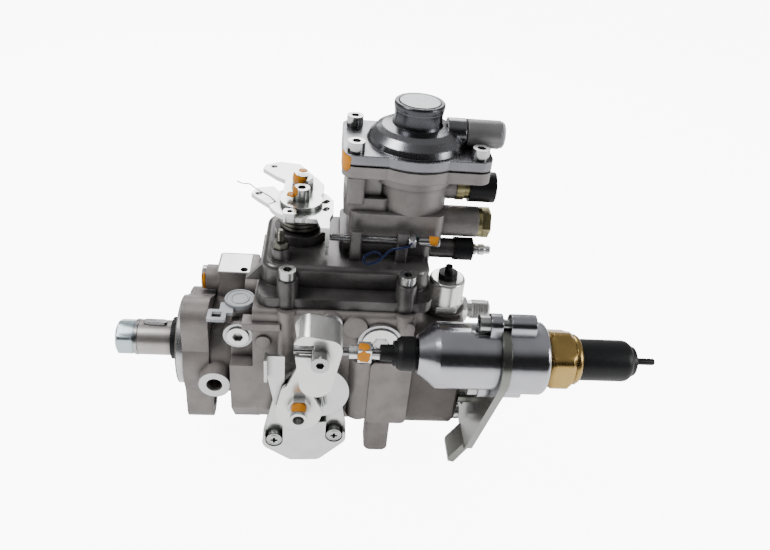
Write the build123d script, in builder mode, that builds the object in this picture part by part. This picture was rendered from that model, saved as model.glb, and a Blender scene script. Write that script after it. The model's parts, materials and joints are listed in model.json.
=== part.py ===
from build123d import *
import os
from math import cos, radians, sin

# Rotary distributor injection pump with boost compensator and electrically heated cold-start actuator.
# Millimetres. X runs along the drive shaft, away from the engine; Z is up; the origin is the centre of
# the mounting face of the flange, on the shaft axis. The cold-start lever side faces -Y.

# Drive end and mounting flange
shaft_r = 10.0
thread_r = 6.0
shaft_end_x = -41.5
washer_x = -28.6
washer_t = 2.4
washer_r = 10.2
nut_t = 10.0
nut_flats = 18.5
seal_front_x = -10.3
pilot_r = 25.0
pilot_len = 5.0
flange_t = 14.0
bolt_pcd = 68.0
bolt_count = 3
bolt_hole_r = 4.25
bolt_lobe_r = 10.0
flange_web_r = 30.0

# Main housing
neck_r = 29.0
neck_end_x = 26.0
nose_top_z = 34.0
deck_start_x = 38.0
body_end_x = 120.0
body_half_y = 38.0
deck_z = 50.0
body_bottom_z = -36.0
cavity_r = 27.5
seal_r = 17.0
seal_depth = 8.0
bush_r = 12.5
well_half_y = 27.0
well_x = (39.2, 106.0)

# Clearances
fit = 0.02
run = 0.05
gap = 0.3

# Feed pump
feed_x = (neck_end_x, 35.0)
feed_plate_t = 2.5
feed_rotor_r = 16.8
feed_ring_r = 19.0
feed_offset = 2.0
inner_shaft_r = 9.0
vane_count = 4
vane_t = 2.5

# Gears and governor
gear_x = (43.0, 49.5)
gear_pair_distance = 38.0
drive_teeth = 32
governor_teeth = 20
governor_shaft_r = 3.0
governor_shaft_end_x = 91.0
cage_r = 10.2
cage_x = (gear_x[1], 68.0)
sleeve_r = 5.5
sleeve_x = (70.5, 94.0)
sleeve_nose_r = 2.0
weight_count = 4

# Timing
timing_x = 66.0
timing_z = -39.5
timing_piston_r = 10.0
timing_boss_r = 15.0
timing_boss_far_y = 42.0
timing_piston_len = 42.0
timing_travel = 6.0
ring_t = 10.0
ring_in_r = 17.0
roller_r = 4.0
roller_len = 6.5
roller_pitch_r = 21.5
roller_count = 4
timing_pin_r = 3.0
timing_cover_t = 4.0
timing_cover_side = 34.0
timing_screw_pitch = 25.0

# Cam plate, plunger and spool
lobe_lift = 2.2
cam_r = 25.5
cam_t = 6.0
plunger_r = 5.5
plunger_end_x = 141.0
spool_x = (92.5, 100.0)
spool_r = 10.0
spool_groove = (94.9, 98.1)
spool_groove_r = 7.4

# Governor lever, and the crank pin that pulls its spring
crank_x = 79.5
crank_pin_z = 46.9
crank_y = 2.0
lever_x = (95.4, 97.6)
lever_pivot_z = 24.0
lever_pivot_r = 2.0

# Distributor head
head_end_x = 150.0
head_width = 72.0
head_height = 68.0
head_corner_r = 16.0
spigot_start_x = 108.0
barrel_r = 12.0
outlet_count = 4
outlet_pitch_r = 23.5
outlet_thread_r = 6.0
outlet_end_x = 172.0
outlet_bore_r = 1.2
outlet_flats = 14.0

# Shut-off solenoid on top of the head
solenoid_x = 139.4
solenoid_y = -6.0
solenoid_r = 9.7
solenoid_top_z = 58.0

# Governor cover
cover_x = (40.0, 128.0)
cover_half_y = 35.0
cover_flange_t = 6.0
cover_side_y = (-25.0, 31.0)
cover_top_z = 74.0
cover_wall = 4.0
cover_column_r = 5.2
cover_seat_z = 66.0

# Throttle lever, on a vertical shaft
throttle_x = 59.5
throttle_y = 7.0
throttle_shaft_r = 4.0
throttle_plate_z = 86.0
throttle_plate_t = 2.5
throttle_disc_r = 16.8

# Boost compensator
boost_x = 115.5
boost_y = 10.8
boost_joint_z = 118.0
boost_flange_t = 6.0
boost_screw_dx = 30.25
boost_screw_dy = 16.5
boost_ear_r = 6.3
boost_bell_r = 24.5
boost_top_z = 144.5
boost_pin_r = 5.0
boost_travel = 5.0

# Cold-start mechanism on the near side
cold_x = 63.0
cold_z = 0.0
cold_shaft_r = 5.0
cold_plate_t = 2.5
rod_y = -62.0
rod_z = 46.0
rod_r = 1.9

# Cold-start actuator, in line with the rod
act_front_x = 118.3
act_front_r = 16.0
act_nose_r = 9.2
boot_front_x = 100.7
act_bracket_x = 156.0
bracket_t = 4.0
act_rear_r = 17.7
act_rear_x = (160.0, 179.5)
wax_end_x = 196.7
wax_flats = 27.0
cap_r = 10.3
cap_end_x = 226.0
pin_end_x = 236.5


def bar_x(x0, x1, radius, y=0.0, z=0.0, mode=Mode.ADD):
    """Round bar along X from x0 to x1."""
    with BuildSketch(Plane.YZ.offset(x0)) as profile:
        with Locations((y, z)):
            Circle(radius)
    extrude(profile.sketch, amount=x1 - x0, mode=mode)


def bar_y(y0, y1, radius, x, z, mode=Mode.ADD):
    """Round bar along Y from y0 to y1."""
    with BuildSketch(Plane.XZ.offset(-y0)) as profile:
        with Locations((x, z)):
            Circle(radius)
    extrude(profile.sketch, amount=y0 - y1, mode=mode)


def bar_z(z0, z1, radius, x, y, mode=Mode.ADD):
    """Round bar along Z from z0 to z1."""
    with BuildSketch(Plane.XY.offset(z0)) as profile:
        with Locations((x, y)):
            Circle(radius)
    extrude(profile.sketch, amount=z1 - z0, mode=mode)


def block(xs, ys, zs, mode=Mode.ADD, corner=0.0):
    """Block between two corners, its edges along Z rounded by corner."""
    wide = xs[1] - xs[0]
    deep = ys[1] - ys[0]
    with BuildSketch(Plane.XY.offset(zs[0])) as profile:
        with Locations(((xs[0] + xs[1]) / 2, (ys[0] + ys[1]) / 2)):
            if corner > 0:
                RectangleRounded(wide, deep, corner)
            else:
                Rectangle(wide, deep)
    extrude(profile.sketch, amount=zs[1] - zs[0], mode=mode)


def hexagon_x(x0, x1, flats, y=0.0, z=0.0, mode=Mode.ADD):
    """Hexagonal bar along X, a corner towards -Y."""
    with BuildSketch(Plane.YZ.offset(x0)) as profile:
        with Locations((y, z)):
            RegularPolygon(flats / 2, 6, major_radius=False, rotation=0)
    extrude(profile.sketch, amount=x1 - x0, mode=mode)


def hexagon_z(z0, z1, flats, x, y, mode=Mode.ADD):
    """Hexagonal bar along Z."""
    with BuildSketch(Plane.XY.offset(z0)) as profile:
        with Locations((x, y)):
            RegularPolygon(flats / 2, 6, major_radius=False)
    extrude(profile.sketch, amount=z1 - z0, mode=mode)


def socket_screw(plane, head_r, head_h, shank_r, shank_len, key_flats):
    """Socket-head screw, its seat on the plane and its head along the plane's normal."""
    with BuildSketch(plane) as profile:
        Circle(head_r)
    extrude(profile.sketch, amount=head_h)
    with BuildSketch(plane) as profile:
        Circle(shank_r)
    extrude(profile.sketch, amount=-shank_len)
    with BuildSketch(plane.offset(head_h)) as profile:
        RegularPolygon(key_flats / 2, 6, major_radius=False)
    extrude(profile.sketch, amount=-head_h * 0.55, mode=Mode.SUBTRACT)


def spring(start, axis, coil_r, wire, length, turns):
    """Coil spring of square wire from a start point along an axis, wound round it at coil_r."""
    with BuildLine() as path:
        Helix(pitch=(length - wire) / turns, height=length - wire, radius=coil_r, center=start, direction=axis)
    with BuildSketch(Plane(origin=path.line @ 0, z_dir=path.line % 0)) as section:
        Rectangle(wire, wire)
    sweep(section.sketch, path=path.line, is_frenet=True)


def save(part, label):
    """Label a finished piece and write it."""
    part.label = label
    export_step(part, f"parts/{label}.step")


os.makedirs("parts", exist_ok=True)

gear_module = 2 * gear_pair_distance / (drive_teeth + governor_teeth)
drive_pitch_r = gear_module * drive_teeth / 2
governor_pitch_r = gear_module * governor_teeth / 2
governor_z = gear_pair_distance
ring_x = (timing_x - ring_t / 2, timing_x + ring_t / 2)
roller_top_x = ring_x[1] + roller_r
cam_x = (roller_top_x + gap + lobe_lift, roller_top_x + gap + lobe_lift + cam_t)
head_bolts = [(sy * 27.9, sz * 23.7) for sy in (-1, 1) for sz in (-1, 1)]
head_bolt_r = 3.0
head_seat_depth = 2.0
bracket_bolts = [(-31.0, -8.0), (0.0, -27.0)]
boost_screws = [
    (boost_x + sx * boost_screw_dx, boost_y + sy * boost_screw_dy) for sx in (-1, 1) for sy in (-1, 1)
]
cover_screws = [(54.8, -31.5), (54.8, 31.0), (114.0, -31.5), (114.0, 31.0)]
cold_screws = [(49.8, -30.0), (82.1, -25.5)]

# Inlet end of the housing
inlet_x = 29.5
inlet_y = -15.0
inlet_top_z = 38.0
inlet_cap_r = 8.0
valve_block_x = (15.0, 37.0)
valve_block_y = (2.0, 22.0)
valve_block_z = 45.0
valve_axis_y = 9.0
valve_axis_z = 37.0

governor_seat_x = 31.0

# Threaded side boss beside the flange
side_boss_x = 17.5
side_boss_z = -1.0
side_boss_r = 8.5
side_boss_y = -37.0
side_hole_r = 4.2
side_hole_len = 14.0

# Plugs on the near side: centre X, centre Z, radius, Y of the wall they sit in
recess_y = -30.0
recess_z = 14.0
gallery_plug = (30.0, 28.5, 5.6, recess_y)
torx_plug = (77.0, 44.6, 3.9, -body_half_y)
large_plug = (103.0, 33.0, 9.6, -body_half_y)
plug_depth = 4.0
plug_boss_t = 1.5
plug_boss_w = 2.2

timing_screws = [
    (timing_x + sx * timing_screw_pitch / 2, timing_z + sz * timing_screw_pitch / 2)
    for sx in (-1, 1) for sz in (-1, 1)
]

# Main housing
with BuildPart() as pump_housing:
    bar_x(-pilot_len, 0, pilot_r)
    with BuildSketch(Plane.YZ):
        with PolarLocations(bolt_pcd / 2, bolt_count):
            Circle(bolt_lobe_r)
        make_hull()
    extrude(amount=flange_t)
    bar_x(0, flange_t, flange_web_r)
    bar_x(flange_t, neck_end_x, neck_r)
    with BuildSketch(Plane.YZ.offset(neck_end_x)) as nose:
        with BuildLine():
            Polyline(
                (-body_half_y, nose_top_z),
                (-body_half_y, -16),
                (-24, body_bottom_z),
                (24, body_bottom_z),
                (body_half_y, -16),
                (body_half_y, nose_top_z),
                close=True,
            )
        make_face()
        fillet(nose.vertices(), 5)
    extrude(amount=deck_start_x - neck_end_x + 2)
    block((neck_end_x, deck_start_x), (-body_half_y, recess_y), (recess_z, nose_top_z), mode=Mode.SUBTRACT)
    with BuildSketch(Plane.YZ.offset(deck_start_x)) as drum:
        with BuildLine():
            Polyline(
                (-body_half_y, deck_z),
                (-body_half_y, -16),
                (-24, body_bottom_z),
                (24, body_bottom_z),
                (body_half_y, -16),
                (body_half_y, deck_z),
                close=True,
            )
        make_face()
        fillet(drum.vertices().sort_by(Axis.Y)[:4], 9)
        fillet(drum.vertices().sort_by(Axis.Y)[-2:], 3)
    extrude(amount=body_end_x - deck_start_x)
    bar_y(-body_half_y, timing_boss_far_y, timing_boss_r, timing_x, timing_z)
    block((timing_x - timing_boss_r, timing_x + timing_boss_r), (-body_half_y, timing_boss_far_y), (timing_z, -10))
    with BuildSketch(Plane.XZ.offset(-timing_boss_far_y)):
        with Locations((timing_x, timing_z)):
            RectangleRounded(timing_cover_side, timing_cover_side, 5)
    extrude(amount=9)
    block((100.5, 114.5), (-33, -15), (-52, -30), corner=4)
    block((100.5, 114.5), (15, 33), (-52, -30), corner=4)
    with BuildSketch(Plane.XZ.offset(body_half_y - 1)):
        with Locations((110, 0)):
            RectangleRounded(22, 43, 3)
    extrude(amount=4.5)
    bar_z(-18, 22, 6.8, 94.6, -body_half_y + 2)
    bar_y(-20, side_boss_y, side_boss_r, side_boss_x, side_boss_z)
    bar_z(15, inlet_top_z, 8.5, inlet_x, inlet_y)
    block(valve_block_x, valve_block_y, (10, valve_block_z), corner=2)
    bar_x(9, valve_block_x[0] + 1, 7, valve_axis_y, valve_axis_z)
    bar_x(governor_seat_x, deck_start_x + 1, 7, 0, governor_z)
    for x, y in cover_screws:
        bar_z(18, deck_z, cover_column_r, x, y + (1 if y > 0 else -1) * 3)
    for plug in (gallery_plug, torx_plug, large_plug):
        bar_y(plug[3] + 1, plug[3] - plug_boss_t, plug[2] + plug_boss_w, plug[0], plug[1])
    bar_y(-body_half_y + 1, -body_half_y - 1.5, 6.3, 89.5, 42.5)
    bar_y(-body_half_y + 1, -body_half_y - 1.5, 4.0, 116, 42.5)
    bar_y(-body_half_y + 1, -body_half_y - 1.2, 3.7, 43.5, 31)
    block((33, 52), (-body_half_y - 2, -body_half_y + 6), (39, 43))
    # Bores along the shaft
    bar_x(-pilot_len, -pilot_len + seal_depth, seal_r, mode=Mode.SUBTRACT)
    bar_x(-pilot_len + seal_depth, neck_end_x, bush_r, mode=Mode.SUBTRACT)
    bar_x(neck_end_x, body_end_x, cavity_r, mode=Mode.SUBTRACT)
    block(well_x, (-well_half_y, well_half_y), (0, deck_z), mode=Mode.SUBTRACT, corner=4)
    # Flange bolt holes
    with BuildSketch(Plane.YZ):
        with PolarLocations(bolt_pcd / 2, bolt_count):
            Circle(bolt_hole_r)
    extrude(amount=flange_t, mode=Mode.SUBTRACT)
    # Spot faces behind the flange for the nuts
    with BuildSketch(Plane.YZ.offset(flange_t)):
        with PolarLocations(bolt_pcd / 2, bolt_count):
            Circle(bolt_lobe_r - 0.5)
    extrude(amount=neck_end_x - flange_t - 1, mode=Mode.SUBTRACT)
    # Timing cylinder and the slot for the ring's pin
    bar_y(-body_half_y, timing_boss_far_y, timing_piston_r + run, timing_x, timing_z, mode=Mode.SUBTRACT)
    block((timing_x - 4, timing_x + 4), (-11, 11), (timing_z, -cavity_r + 3), mode=Mode.SUBTRACT)
    # Cold-start shaft bore, side boss hole, inlet and regulating valve bores
    bar_y(-body_half_y, -cavity_r + 3, cold_shaft_r + run, cold_x, cold_z, mode=Mode.SUBTRACT)
    bar_y(side_boss_y, side_boss_y + side_hole_len, side_hole_r, side_boss_x, side_boss_z, mode=Mode.SUBTRACT)
    bar_z(inlet_top_z - 12, inlet_top_z, 5.5, inlet_x, inlet_y, mode=Mode.SUBTRACT)
    bar_x(9, 30, 4.5 + fit, valve_axis_y, valve_axis_z, mode=Mode.SUBTRACT)
    bar_z(valve_block_z - 6, valve_block_z, 2, 29.5, 5.5, mode=Mode.SUBTRACT)
    for plug in (gallery_plug, torx_plug, large_plug):
        bar_y(plug[3] - plug_boss_t, plug[3] - plug_boss_t + plug_depth, plug[2], plug[0], plug[1], mode=Mode.SUBTRACT)
    # Governor shaft seat and the lever's pivot holes
    bar_x(governor_seat_x, well_x[0], governor_shaft_r, 0, governor_z, mode=Mode.SUBTRACT)
    bar_y(-31, 31, lever_pivot_r, (lever_x[0] + lever_x[1]) / 2, lever_pivot_z, mode=Mode.SUBTRACT)
    # Screw holes
    for x, y in cover_screws:
        bar_z(deck_z - 10, deck_z, 2.5 + fit, x, y, mode=Mode.SUBTRACT)
    for x, z in cold_screws:
        bar_y(-body_half_y, -body_half_y + 5, 2.5 + fit, x, z, mode=Mode.SUBTRACT)
    for x, z in timing_screws:
        bar_y(timing_boss_far_y - 7, timing_boss_far_y, 2.0 + fit, x, z, mode=Mode.SUBTRACT)
    for y, z in head_bolts:
        bar_x(body_end_x - 9, body_end_x, head_bolt_r + fit, y, z, mode=Mode.SUBTRACT)
save(pump_housing.part, "pump_housing")

# Drive shaft with its yoke
with BuildPart() as drive_shaft:
    bar_x(shaft_end_x, washer_x, thread_r)
    chamfer(drive_shaft.faces().sort_by(Axis.X)[0].edges(), 0.8)
    bar_x(washer_x, neck_end_x, shaft_r)
    bar_x(neck_end_x, gear_x[1], inner_shaft_r)
    bar_x(gear_x[1], gear_x[1] + 8, 14)
    for side in (-1, 1):
        block((gear_x[1] + 4, cam_x[0] - 6), (side * 8.5 - 3, side * 8.5 + 3), (-5, 5))
    with BuildSketch(Plane.XZ):
        with Locations((washer_x + 9, 0)):
            SlotOverall(13, 4)
    extrude(amount=-(shaft_r + 1), mode=Mode.SUBTRACT)
    with BuildSketch(Plane.XZ):
        with Locations((washer_x + 9, 0)):
            SlotOverall(13, 4)
    extrude(amount=-(shaft_r - 3))
save(drive_shaft.part, "drive_shaft")

# Nut, washer and key on the drive end
with BuildPart() as drive_fasteners:
    hexagon_x(washer_x - washer_t - nut_t, washer_x - washer_t, nut_flats)
    with BuildSketch(Plane.YZ.offset(washer_x - washer_t - nut_t)):
        Circle(nut_flats / 2 + 0.9)
    extrude(amount=nut_t, mode=Mode.INTERSECT)
    bar_x(washer_x - washer_t - nut_t, washer_x - washer_t, thread_r, mode=Mode.SUBTRACT)
    with BuildSketch(Plane.YZ.offset(washer_x - washer_t + 0.02)):
        Circle(washer_r)
        Circle(thread_r, mode=Mode.SUBTRACT)
    extrude(amount=washer_t - 0.02)
    with BuildSketch(Plane.XZ.offset(-(shaft_r - 3))):
        with Locations((washer_x + 9, 0)):
            SlotOverall(13, 4)
    extrude(amount=-5)
save(drive_fasteners.part, "drive_fasteners")

# Shaft seal: a ring in the pilot with a lip sleeve that stands out along the shaft
with BuildPart() as shaft_seal:
    bar_x(-pilot_len, -pilot_len + seal_depth, seal_r)
    bar_x(seal_front_x, -pilot_len, shaft_r + 2.0)
    bar_x(seal_front_x, -pilot_len + seal_depth, shaft_r + run, mode=Mode.SUBTRACT)
    with BuildSketch(Plane.YZ.offset((seal_front_x - pilot_len) / 2)):
        Circle(shaft_r + 2.0)
        Circle(shaft_r + 1.2, mode=Mode.SUBTRACT)
    extrude(amount=1.0, mode=Mode.SUBTRACT)
save(shaft_seal.part, "shaft_seal")

with BuildPart() as bearing_bush:
    bar_x(-pilot_len + seal_depth, neck_end_x, bush_r)
    bar_x(-pilot_len + seal_depth, neck_end_x, shaft_r + run, mode=Mode.SUBTRACT)
save(bearing_bush.part, "bearing_bush")

# Vane feed pump: eccentric ring with its side plate, rotor and vanes
with BuildPart() as feed_pump_ring:
    bar_x(feed_x[0], feed_x[1], cavity_r - fit)
    bar_x(feed_x[0], feed_x[1], feed_ring_r, 0, feed_offset, mode=Mode.SUBTRACT)
    with BuildSketch(Plane.YZ.offset(feed_x[1] + 0.02)):
        Circle(cavity_r - fit)
        Circle(inner_shaft_r + gap, mode=Mode.SUBTRACT)
        with PolarLocations(15, 2, start_angle=90):
            SlotOverall(9, 3, rotation=90, mode=Mode.SUBTRACT)
    extrude(amount=feed_plate_t - 0.02)
save(feed_pump_ring.part, "feed_pump_ring")

with BuildPart() as feed_pump_rotor:
    bar_x(feed_x[0] + gap, feed_x[1] - gap, feed_rotor_r)
    bar_x(feed_x[0] + gap, feed_x[1] - gap, inner_shaft_r, mode=Mode.SUBTRACT)
    with BuildSketch(Plane.YZ.offset(feed_x[0] + gap)):
        with PolarLocations(feed_rotor_r - 2.5, vane_count, start_angle=45):
            Rectangle(5.02, vane_t + 2 * fit)
    extrude(amount=feed_x[1] - feed_x[0] - 2 * gap, mode=Mode.SUBTRACT)
save(feed_pump_rotor.part, "feed_pump_rotor")

with BuildPart() as feed_pump_vanes:
    with BuildSketch(Plane.YZ.offset(feed_x[0] + gap)):
        with PolarLocations(feed_rotor_r - 2.5, vane_count, start_angle=45):
            Rectangle(4.9, vane_t)
    extrude(amount=feed_x[1] - feed_x[0] - 2 * gap)
save(feed_pump_vanes.part, "feed_pump_vanes")


def gear(x0, x1, teeth, pitch_r, bore, y, z, phase):
    """Spur gear along X. Teeth are straight-sided, thinned for backlash; phase turns the first tooth."""
    root = pitch_r - 1.1 * gear_module
    tip = pitch_r + 0.8 * gear_module
    pitch = 360 / teeth
    points = []
    for k in range(teeth):
        mid = phase + k * pitch
        for radius, half in ((root, 0.34), (tip, 0.13)):
            points.append((radius, mid - half * pitch))
        for radius, half in ((tip, 0.13), (root, 0.34)):
            points.append((radius, mid + half * pitch))
    outline = [(y + r * cos(radians(a)), z + r * sin(radians(a))) for r, a in points]
    with BuildSketch(Plane.YZ.offset(x0)) as profile:
        with BuildLine():
            Polyline(*outline, close=True)
        make_face()
        with Locations((y, z)):
            Circle(bore, mode=Mode.SUBTRACT)
    extrude(profile.sketch, amount=x1 - x0)


# The drive gear turns on rubber blocks on the shaft; a tooth of the upper gear stands in its top gap
with BuildPart() as drive_gear:
    gear(gear_x[0], gear_x[1], drive_teeth, drive_pitch_r, inner_shaft_r, 0, 0, 90)
save(drive_gear.part, "drive_gear")

with BuildPart() as governor_cage:
    gear(gear_x[0] + 0.5, gear_x[1], governor_teeth, governor_pitch_r, governor_shaft_r + run, 0, governor_z,
         -90 + 180 / governor_teeth)
    bar_x(cage_x[0], cage_x[1], cage_r, 0, governor_z)
    with BuildSketch(Plane.YZ.offset(cage_x[0] + 2)):
        with Locations((0, governor_z)):
            Circle(cage_r)
            Circle(5.0, mode=Mode.SUBTRACT)
        with Locations((0, governor_z)):
            with PolarLocations(cage_r - 3, weight_count):
                Rectangle(9, 9, mode=Mode.INTERSECT)
    extrude(amount=cage_x[1] - cage_x[0] - 4, mode=Mode.SUBTRACT)
    bar_x(gear_x[0] + 0.5, cage_x[1], governor_shaft_r + run, 0, governor_z, mode=Mode.SUBTRACT)
save(governor_cage.part, "governor_cage")

with BuildPart() as flyweights:
    with BuildSketch(Plane.YZ.offset(cage_x[0] + 2 + gap)):
        with Locations((0, governor_z)):
            with PolarLocations(7.3, weight_count):
                RectangleRounded(3.6, 7.2, 0.8)
    extrude(amount=cage_x[1] - cage_x[0] - 4 - 2 * gap)
save(flyweights.part, "flyweights")

with BuildPart() as governor_sleeve:
    bar_x(sleeve_x[0], sleeve_x[1], sleeve_r, 0, governor_z)
    bar_x(sleeve_x[0], sleeve_x[0] + 2, sleeve_r + 3, 0, governor_z)
    bar_x(sleeve_x[0], governor_shaft_end_x + 1.8, governor_shaft_r + run, 0, governor_z, mode=Mode.SUBTRACT)
    bar_x(sleeve_x[1], lever_x[0] - gap, sleeve_nose_r, 0, governor_z)
save(governor_sleeve.part, "governor_sleeve")

lever_mid_x = (lever_x[0] + lever_x[1]) / 2

with BuildPart() as governor_lever:
    with BuildSketch(Plane.YZ.offset(lever_x[0])) as lever_face:
        with Locations((0, 31.5)):
            RectangleRounded(9, 39, 2)
        with Locations((0, lever_pivot_z)):
            Rectangle(16, 7)
        fillet(lever_face.vertices().filter_by(lambda v: abs(abs(v.Y) - 4.5) < 0.1), 1)
    extrude(amount=lever_x[1] - lever_x[0])
    bar_y(-8, 8, lever_pivot_r + 1.8, lever_mid_x, lever_pivot_z)
    bar_z(spool_groove_r + gap, 14, 1.15, lever_mid_x, 0)
    bar_y(-9, 9, lever_pivot_r + run, lever_mid_x, lever_pivot_z, mode=Mode.SUBTRACT)
    bar_x(lever_x[0] - 1.1, lever_x[0], 3.0, crank_y, 48)
    spring((lever_x[0] - 1.6, crank_y, 48), (-1, 0, 0), 2.4, 1.0, lever_x[0] - crank_x - 4.0, 6)
save(governor_lever.part, "governor_lever")

with BuildPart() as governor_pins:
    bar_x(governor_seat_x, governor_shaft_end_x, governor_shaft_r, 0, governor_z)
    bar_y(-31, 31, lever_pivot_r, lever_mid_x, lever_pivot_z)
save(governor_pins.part, "governor_pins")

with BuildPart() as control_spool:
    bar_x(spool_x[0], spool_x[1], spool_r)
    with BuildSketch(Plane.YZ.offset(spool_groove[0])):
        Circle(spool_r)
        Circle(spool_groove_r, mode=Mode.SUBTRACT)
    extrude(amount=spool_groove[1] - spool_groove[0], mode=Mode.SUBTRACT)
    bar_x(spool_x[0], spool_x[1], plunger_r + run, mode=Mode.SUBTRACT)
save(control_spool.part, "control_spool")

# Roller ring with its pin down to the timing piston
roller_angles = [45 + 360 / roller_count * k for k in range(roller_count)]

with BuildPart() as roller_ring:
    bar_x(ring_x[0], ring_x[1], cavity_r - run)
    bar_x(ring_x[0], ring_x[1], ring_in_r, mode=Mode.SUBTRACT)
    for angle in roller_angles:
        radial = Vector(0, cos(radians(angle)), sin(radians(angle)))
        start = Vector(ring_x[1], 0, 0) + radial * (roller_pitch_r - roller_len / 2 - fit)
        with BuildSketch(Plane(origin=start, z_dir=radial)):
            Circle(roller_r + fit)
        extrude(amount=roller_len + 2 * fit, mode=Mode.SUBTRACT)
    bar_z(timing_z - timing_pin_r, -20, timing_pin_r, timing_x, 0)
    block((cold_x - 1.6, cold_x + 1.6), (-cavity_r, -cavity_r + 3), (cold_z - 5.8, cold_z + 2.8), mode=Mode.SUBTRACT)
save(roller_ring.part, "roller_ring")

with BuildPart() as rollers:
    for angle in roller_angles:
        radial = Vector(0, cos(radians(angle)), sin(radians(angle)))
        start = Vector(ring_x[1], 0, 0) + radial * (roller_pitch_r - roller_len / 2)
        with BuildSketch(Plane(origin=start, z_dir=radial)):
            Circle(roller_r)
        extrude(amount=roller_len)
save(rollers.part, "rollers")

with BuildPart() as timing_piston:
    bar_y(-timing_piston_len / 2, timing_piston_len / 2, timing_piston_r, timing_x, timing_z)
    block((timing_x - 3.6, timing_x + 3.6), (-3.9, 3.9), (timing_z - 4, timing_z + 5), mode=Mode.SUBTRACT)
    block((timing_x - 3.6, timing_x + 3.6), (-5.2, 5.2), (timing_z + 3.5, timing_z + 12), mode=Mode.SUBTRACT)
    bar_y(timing_piston_len / 2 - 9, timing_piston_len / 2, 6.5, timing_x, timing_z, mode=Mode.SUBTRACT)
save(timing_piston.part, "timing_piston")

with BuildPart() as timing_cover:
    with BuildSketch(Plane.XZ.offset(-timing_boss_far_y)):
        with Locations((timing_x, timing_z)):
            RectangleRounded(timing_cover_side, timing_cover_side, 5)
            Circle(timing_screw_pitch / 2 - 6)
        for x, z in timing_screws:
            with Locations((x, z)):
                Circle(2.0 + fit, mode=Mode.SUBTRACT)
    extrude(amount=-timing_cover_t)
    bar_y(timing_boss_far_y + timing_cover_t, timing_boss_far_y + timing_cover_t + 4, 7.5, timing_x, timing_z)
    bar_y(timing_boss_far_y - 3, timing_boss_far_y, timing_piston_r, timing_x, timing_z)
save(timing_cover.part, "timing_cover")

# Cam plate with one lobe for each outlet, on top of the rollers, and its claws between the shaft's
with BuildPart() as cam_plate:
    bar_x(cam_x[0], cam_x[1], cam_r)
    for angle in roller_angles:
        radial = Vector(0, cos(radians(angle)), sin(radians(angle)))
        tangent = Vector(0, -sin(radians(angle)), cos(radians(angle)))
        face = Plane(origin=Vector(cam_x[0], 0, 0) + radial * 16, x_dir=tangent, z_dir=radial)
        toward = -1 if face.y_dir.X > 0 else 1
        with BuildSketch(face):
            with BuildLine():
                ThreePointArc((-8, 0), (0, toward * lobe_lift), (8, 0))
                Line((8, 0), (-8, 0))
            make_face()
        extrude(amount=cam_r - 16 - 0.5)
    for side in (-1, 1):
        block((cam_x[0] - 14, cam_x[0]), (-5 + gap, 5 - gap), (side * 8.5 - 3, side * 8.5 + 3))
save(cam_plate.part, "cam_plate")

with BuildPart() as distributor_plunger:
    bar_x(cam_x[1], cam_x[1] + 1.5, 9.0)
    bar_x(cam_x[1] + 1.5, plunger_end_x, plunger_r)
    bar_x(125, 127, plunger_r, mode=Mode.SUBTRACT)
    bar_x(125, 127, plunger_r - 0.8)
    bar_x(spool_x[0] + 4, plunger_end_x, 1.2, mode=Mode.SUBTRACT)
    bar_z(-plunger_r, plunger_r, 1.2, spool_x[0] + 4, 0, mode=Mode.SUBTRACT)
save(distributor_plunger.part, "distributor_plunger")

spring_seat_x = (cam_x[1] + 1.5 + gap, cam_x[1] + 1.5 + gap + 1.6)
spring_pitch_y = 18.0

# Distributor head: flange, spigot in the housing, bore for the barrel and one port for each outlet
outlet_angles = [45 + 360 / outlet_count * k for k in range(outlet_count)]
barrel_end_x = head_end_x - 7
with BuildPart() as distributor_head:
    with BuildSketch(Plane.YZ.offset(body_end_x)):
        RectangleRounded(head_width, head_height, head_corner_r)
    extrude(amount=head_end_x - body_end_x)
    head_rim = distributor_head.faces().sort_by(Axis.X)[-1].edges()
    chamfer(head_rim, 2.0)
    bar_x(spigot_start_x, body_end_x, cavity_r - fit)
    bar_z(20, head_height / 2 + 2, solenoid_r + 1.8, solenoid_x, solenoid_y)
    bar_x(spigot_start_x, barrel_end_x, barrel_r, mode=Mode.SUBTRACT)
    bar_x(barrel_end_x, head_end_x, 7.0, mode=Mode.SUBTRACT)
    with BuildSketch(Plane.YZ.offset(head_end_x - 12)):
        with PolarLocations(outlet_pitch_r, outlet_count, start_angle=45):
            Circle(outlet_thread_r + fit)
    extrude(amount=12, mode=Mode.SUBTRACT)
    bar_z(head_height / 2 - 8, head_height / 2 + 2, 6.0 + fit, solenoid_x, solenoid_y, mode=Mode.SUBTRACT)
    for y, z in head_bolts:
        bar_x(body_end_x, head_end_x, head_bolt_r + fit, y, z, mode=Mode.SUBTRACT)
        bar_x(head_end_x - head_seat_depth, head_end_x, 4.9, y, z, mode=Mode.SUBTRACT)
    for y, z in bracket_bolts:
        bar_x(head_end_x - 9, head_end_x, head_bolt_r + fit, y, z, mode=Mode.SUBTRACT)
    with BuildSketch(Plane.YZ.offset(spigot_start_x - 4)):
        Circle(barrel_r - fit)
        Circle(plunger_r + run, mode=Mode.SUBTRACT)
    extrude(amount=barrel_end_x - spigot_start_x + 4)
save(distributor_head.part, "distributor_head")

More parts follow.
